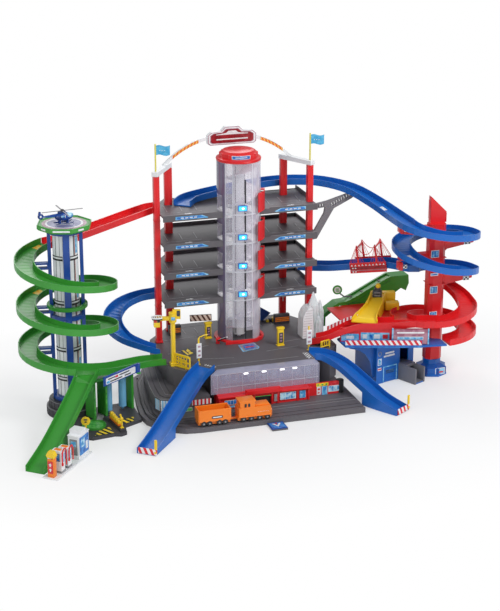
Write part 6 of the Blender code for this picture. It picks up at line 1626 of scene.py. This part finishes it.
def dress_platform():
    floor = 0.186
    block("yellow_box_front", "yellow", set_up((0.4930, -0.0860, floor), -12), (0.0460, 0.0280, 0.0280),
          (0, 0, 0.0138), 0.0040)
    block("yellow_box_back", "yellow", set_up((0.4960, -0.0480, floor), -12), (0.0440, 0.0260, 0.0500),
          (0, 0, 0.0248), 0.0040)
    figure = set_up((0.4460, -0.0750, 0.2225), EYE_HEADING)
    body = [block("slide_panel", "label_dark", figure, (0.0300, 0.0060, 0.0300), (0, 0, 0.0160), 0.0016),
            block("slide_panel_top", "label_dark", figure, (0.0200, 0.0060, 0.0100), (0, 0, 0.0350), 0.0016)]
    joined_as("slide_gate", body)
    for k, z in enumerate((0.012, 0.022)):
        label(f"slide_gate_mark_{k}", "line_grey", moved(figure, 0, -0.0030, 0), 0.0200,
              0.0030, 0, z)
    blob("slide_ball", "yellow", figure, (0.0085, 0.0085, 0.0085), (0.002, 0, 0.0450))
    edge = [(0.4400, -0.0480, 0.2425), (0.4195, -0.0800, 0.2370), (0.3935, -0.1150, 0.2255)]
    rod("slide_rim_left", "yellow", edge, 0.0024)
    board = set_up((0.4233, -0.2640, 0.0), -17.4)
    block("rescue_board", "label_dark_red", board, (0.1120, 0.0040, 0.0520), (0.0560, -0.0110, 0.1662),
          0.0010)
    face = moved(board, 0, -0.0131, 0)
    label("board_mauve", "label_board", face, 0.1060, 0.0480, 0.0560, 0.1660, 0.001)
    label("board_title", "line", face, 0.0860, 0.0050, 0.0560, 0.1790, 0.002, layer=1)
    window_row("board_window", moved(face, 0, -2 * LABEL, 0), 0.0140, 0.0960, 0.1560,
               0.1660, 4, "line", "label_sky")
    posts = [block(f"board_post_{k}", "label_sky", board, (0.0050, 0.0060, 0.0540), (x, -0.0110, 0.1665),
                   0.0012)
             for k, x in enumerate((0.0, 0.1120))]
    joined_as("board_posts", posts)
    rail = set_up((0.274, -0.2400, 0), PARAPET_HEADING)
    label("parapet_stripes", "parapet", rail, 0.2400, 0.0160, 0.1212, 0.1485, 0.0005)
    label("parapet_low", "label_blue", rail, 0.2400, 0.0070, 0.1212, 0.1355, 0.0005)
    skirt = set_up((0.332, -0.2228, 0), -19.7)
    label("skirt_band", "label_sky", skirt, 0.0900, 0.0300, 0.0460, 0.1560, 0.0010)
    for k, (x, w, finish) in enumerate(((0.014, 0.014, "line"), (0.034, 0.010, "label_blue"),
                                        (0.052, 0.018, "line"), (0.078, 0.016, "label_red"))):
        label(f"skirt_mark_{k}", finish, skirt, w, 0.0140, x, 0.1580, 0.0010, layer=1)
    left = set_up((0.274, -0.2003, 0), -21.2)
    label("skirt_left_band", "label_sky", left, 0.0560, 0.0240, 0.0300, 0.1540, 0.0010)
    label("skirt_left_mark", "line", left, 0.0240, 0.0100, 0.0300, 0.1540, 0.0010, layer=1)


DOOR_FRAME = (((0.0560, 0.0016, 0.0030), (0.055, -0.0004, 0.0530)),
              ((0.0030, 0.0016, 0.0520), (0.0285, -0.0004, 0.0265)),
              ((0.0030, 0.0016, 0.0520), (0.0815, -0.0004, 0.0265)))


def dress_rescue():
    face = set_up((0.377, -0.2540, 0), FACE_HEADING)
    label("emblem_rim", "line_grey", face, 0.0150, 0.0150, 0.0120, 0.1010, 0.0074)
    label("emblem", "label_blue", face, 0.0110, 0.0110, 0.0120, 0.1010, 0.0054, layer=1)
    label("front_window_rim", "line", face, 0.0150, 0.0220, 0.0120, 0.0740, 0.0010)
    label("front_window", "window", face, 0.0110, 0.0180, 0.0120, 0.0740, 0.0008, layer=1)
    label("front_flag", "line", face, 0.0150, 0.0100, 0.0120, 0.0500, 0.0010)
    label("front_flag_red", "label_red", face, 0.0150, 0.0040, 0.0120, 0.0500, 0.0010, layer=1)
    bars = [label(f"front_bar_{k}", "line", face, w, 0.0058, x, z, 0.0020)
            for k, (x, z, w) in enumerate(((0.052, 0.0985, 0.036), (0.050, 0.0890, 0.044)))]
    joined_as("front_bars", bars)
    frame_bars = [block(f"door_frame_{k}", "label_sky", face, size, shift, 0.0004)
                  for k, (size, shift) in enumerate(DOOR_FRAME)]
    joined_as("door_frame", frame_bars)
    slats = [block(f"door_slat_{k}", "track_blue", face, (0.0480, 0.0014, 0.0016),
                   (0.055, 0.0000, 0.0080 + 0.0085 * k), 0.0003, "garage_door_body")
             for k in range(5)]
    joined_as("door_slats", slats)
    label("door_window", "window_dark", moved(face, 0, 0.0002, 0), 0.0340, 0.0130, 0.055,
          0.0360, 0.001, body="garage_door_body")
    walls = []
    for side in (-1, 1):
        outer = side * 0.0225
        walls.append(block(f"launcher_side_{side}", "launcher_grey", LAUNCHER, (0.0996, 0.0012, 0.0505),
                           (0.0290, outer, 0.0254), 0.0004))
        walls.append(block(f"launcher_cap_{side}", "launcher_grey", LAUNCHER, (0.0996, 0.0062, 0.0014),
                           (0.0290, side * 0.0200, 0.0507), 0.0004))
        walls.append(block(f"launcher_end_{side}", "launcher_grey", LAUNCHER, (0.0012, 0.0062, 0.0500),
                           (0.0787, side * 0.0200, 0.0254), 0.0004))
        walls.append(block(f"launcher_inner_{side}", "launcher_grey", LAUNCHER, (0.0980, 0.0010, 0.0460),
                           (0.0290, side * 0.0174, 0.0274), 0.0003))
    walls.append(block("launcher_floor", "launcher_grey", LAUNCHER, (0.0980, 0.0340, 0.0010),
                       (0.0290, 0, 0.0048), 0.0003))
    walls.append(block("launcher_roof", "launcher_grey", LAUNCHER, (0.0500, 0.0440, 0.0040),
                       (0.0110, 0, 0.0535), 0.0010))
    walls.append(block("launcher_sill", "launcher_grey", LAUNCHER, (0.0040, 0.0440, 0.0100),
                       (0.0365, 0, 0.0505), 0.0008))
    joined_as("launcher_case", walls)
    # Black plate inside the launcher case: painted shade under its roof
    block("launcher_painted_shade", "black", LAUNCHER, (0.0020, 0.0330, 0.0380), (0.0200, 0, 0.0260), 0.0002)
    label("bay_side_panel", "line_grey", set_up((0.460, -0.2292, 0), 19.2), 0.0080, 0.0250, 0.0060, 0.118,
          0.001)
    ledge = [(0.274, -0.2404, 0.1340, 0.1372), (0.505, -0.3134, 0.1340, 0.1372),
             (0.584, -0.3244, 0.1340, 0.1372)]
    ribbon("ledge_bead", "track_blue", ledge, 0.0016)


def dress_mast():
    face = set_up((0.589, -0.2250, 0))
    for k, (x, z, w, h) in enumerate(((-0.0125, 0.288, 0.026, 0.024), (-0.0115, 0.208, 0.026, 0.015),
                                      (-0.0125, 0.3394, 0.026, 0.009), (-0.0125, 0.4071, 0.027, 0.024),
                                      (-0.0120, 0.4774, 0.026, 0.014))):
        label(f"mast_window_rim_{k}", "line", face, w, h, x, z, 0.0010)
        label(f"mast_window_{k}", "label_blue", face, w - 0.004, h - 0.004, x, z, 0.0008, layer=1)
        panes = [label(f"mast_pane_{k}_{j}", "label_sky", face, 0.0060, h - 0.008, x + dx, z, 0.0006,
                       layer=2)
                 for j, dx in enumerate((-0.0055, 0.0055))]
        joined_as(f"mast_panes_{k}", panes)
    arm = set_up((0, -0.2120, 0))
    for k, (x, z, w) in enumerate(((0.4775, 0.4918, 0.018), (0.4785, 0.3700, 0.018),
                                   (0.6915, 0.4320, 0.020), (0.6930, 0.3125, 0.020))):
        label(f"mast_check_rim_{k}", "line", arm, w + 0.002, 0.0136, x, z, 0.0006)
        label(f"mast_check_{k}", "check", arm, w, 0.0120, x, z, 0.0004, layer=1)
    for k, (x, z, w) in enumerate(((0.4700, 0.4935, 0.0108), (0.4700, 0.3720, 0.0108))):
        block(f"arm_shoe_{k}", "red", set_up((x - 0.0022, -0.2000, z)), (w, 0.0300, 0.0260), bevel=0.0010)
    seams = [block(f"mast_seam_{k}", "red", set_up((0.589, -0.2000, z)), (0.0548, 0.0508, 0.0022),
                   bevel=0.0006)
             for k, z in enumerate((0.182, 0.305, 0.392))]
    joined_as("mast_seams", seams)
    ribs = [block("fin_rib", "red", set_up((0.5655, -0.1980, 0.545)), (0.0020, 0.0200, 0.0600),
                  bevel=0.0006),
            block("fin_edge", "red", set_up((0.6180, -0.1980, 0.5180)), (0.0030, 0.0180, 0.0300),
                  bevel=0.0008)]
    joined_as("fin_ribs", ribs)
    foot = facing(0.0446, -87.5, 0.0170, RIGHT_CENTRE)
    label("foot_label_rim", "line", foot, 0.0340, 0.0220, 0.010, 0.0)
    label("foot_label", "label_sky", foot, 0.0300, 0.0180, 0.010, 0.0, layer=1)
    label("foot_label_mark", "label_red", foot, 0.0220, 0.0050, 0.010, -0.0030, layer=2)
    spines = []
    for k in range(8):
        a = math.radians(22.5 - 17.5 + 45 * k)
        spines.append(block(f"foot_spine_{k}", "blue",
                            set_up((RIGHT_CENTRE[0] + 0.0480 * math.cos(a),
                                    RIGHT_CENTRE[1] + 0.0480 * math.sin(a), 0.016), math.degrees(a)),
                            (0.0030, 0.0060, 0.020), bevel=0.0008))
    joined_as("right_foot_spines", spines)


dress_nodes()
dress_lift()
for storey in range(4):
    dress_floor(storey)
dress_columns()
dress_arch()
dress_deck()
dress_station()
dress_plinth()
dress_train()
dress_left_tower()
dress_helipad()
dress_helicopter()
dress_wash()
dress_diverter()
dress_ramp_gates()
dress_fuel()
dress_bridge()
dress_truss()
dress_tracks()
dress_crane()
dress_barrier()
dress_road()
dress_rock()
dress_platform()
dress_rescue()
dress_mast()


# Stage, light and camera
def make_stage():
    bpy.ops.mesh.primitive_plane_add(size=14.0, location=(0, 0, -0.0008))
    floor = bpy.context.active_object
    floor.name = "studio_floor"
    ground, nodes, links, shader = shader_of("studio_floor")
    place = object_place(nodes)
    tone = noise(nodes, links, place, 3.0, 2.0)
    links.new(blended(nodes, links, tone, (0.86, 0.86, 0.865), (0.89, 0.89, 0.89)),
              shader.inputs["Base Color"])
    shader.inputs["Roughness"].default_value = 0.75
    shader.inputs["Specular IOR Level"].default_value = 0.2
    # away from the set the floor reads as plain white paper, and near it the shadows stay
    split = nodes.new("ShaderNodeSeparateXYZ")
    links.new(place, split.inputs[0])
    across = maths(nodes, links, "MULTIPLY", split.outputs["X"], 0.78)
    deep = maths(nodes, links, "MULTIPLY", maths(nodes, links, "ADD", split.outputs["Y"], 0.2), 1.15)
    reach = maths(nodes, links, "SQRT",
                  maths(nodes, links, "ADD", maths(nodes, links, "MULTIPLY", across, across),
                        maths(nodes, links, "MULTIPLY", deep, deep)))
    fade = nodes.new("ShaderNodeMapRange")
    fade.inputs["From Min"].default_value = 0.35
    fade.inputs["From Max"].default_value = 1.05
    fade.inputs["To Min"].default_value = 0.35
    fade.inputs["To Max"].default_value = 1.0
    links.new(reach, fade.inputs["Value"])
    rays = nodes.new("ShaderNodeLightPath")
    seen = maths(nodes, links, "MAXIMUM", rays.outputs["Is Camera Ray"], rays.outputs["Is Transmission Ray"])
    paper = nodes.new("ShaderNodeEmission")
    paper.inputs["Color"].default_value = (1.0, 1.0, 1.0, 1.0)
    paper.inputs["Strength"].default_value = 1.0
    both = nodes.new("ShaderNodeMixShader")
    links.new(maths(nodes, links, "MULTIPLY", seen, fade.outputs["Result"]), both.inputs[0])
    links.new(shader.outputs[0], both.inputs[1])
    links.new(paper.outputs[0], both.inputs[2])
    links.new(both.outputs[0], nodes["Material Output"].inputs["Surface"])
    floor.data.materials.append(ground)


def make_world():
    world = bpy.data.worlds.new("studio")
    bpy.context.scene.world = world
    world.use_nodes = True
    nodes = world.node_tree.nodes
    links = world.node_tree.links
    nodes.clear()
    out = nodes.new("ShaderNodeOutputWorld")
    mix = nodes.new("ShaderNodeMixShader")
    seen = nodes.new("ShaderNodeBackground")
    seen.inputs["Color"].default_value = (1.0, 1.0, 1.0, 1.0)
    seen.inputs["Strength"].default_value = 1.0
    sky = nodes.new("ShaderNodeBackground")
    sky.inputs["Color"].default_value = (0.93, 0.96, 1.0, 1.0)
    sky.inputs["Strength"].default_value = 0.50
    rays = nodes.new("ShaderNodeLightPath")
    direct = nodes.new("ShaderNodeMath")
    direct.operation = "MAXIMUM"
    links.new(rays.outputs["Is Camera Ray"], direct.inputs[0])
    links.new(rays.outputs["Is Transmission Ray"], direct.inputs[1])
    links.new(direct.outputs[0], mix.inputs[0])
    links.new(sky.outputs[0], mix.inputs[1])
    links.new(seen.outputs[0], mix.inputs[2])
    links.new(mix.outputs[0], out.inputs[0])


def add_lamp(name, place, target, size, power):
    bpy.ops.object.light_add(type="AREA", location=place)
    lamp = bpy.context.active_object
    lamp.name = name
    lamp.data.shape = "SQUARE"
    lamp.data.size = size
    lamp.data.energy = power
    lamp.rotation_euler = (Vector(target) - Vector(place)).to_track_quat("-Z", "Y").to_euler()


def make_lights():
    add_lamp("key_light", (1.6, -2.4, 2.9), (0, -0.1, 0.2), 1.3, 68)
    add_lamp("fill_light", (-2.6, -2.6, 1.8), (0, -0.1, 0.3), 2.0, 27)
    add_lamp("back_light", (0.4, 2.4, 2.4), (0, 0, 0.3), 1.6, 30)


def make_camera():
    bpy.ops.object.camera_add(location=CAMERA_PLACE,
                              rotation=(math.radians(90 - VIEW_PITCH), 0, math.radians(VIEW_HEADING)))
    camera = bpy.context.active_object
    camera.name = "photo_camera"
    camera.data.lens = LENS_MM
    camera.data.sensor_width = 36.0
    camera.data.clip_end = 60.0
    bpy.context.scene.camera = camera


make_stage()
make_world()
make_lights()
make_camera()
bpy.context.scene.view_settings.view_transform = "Standard"
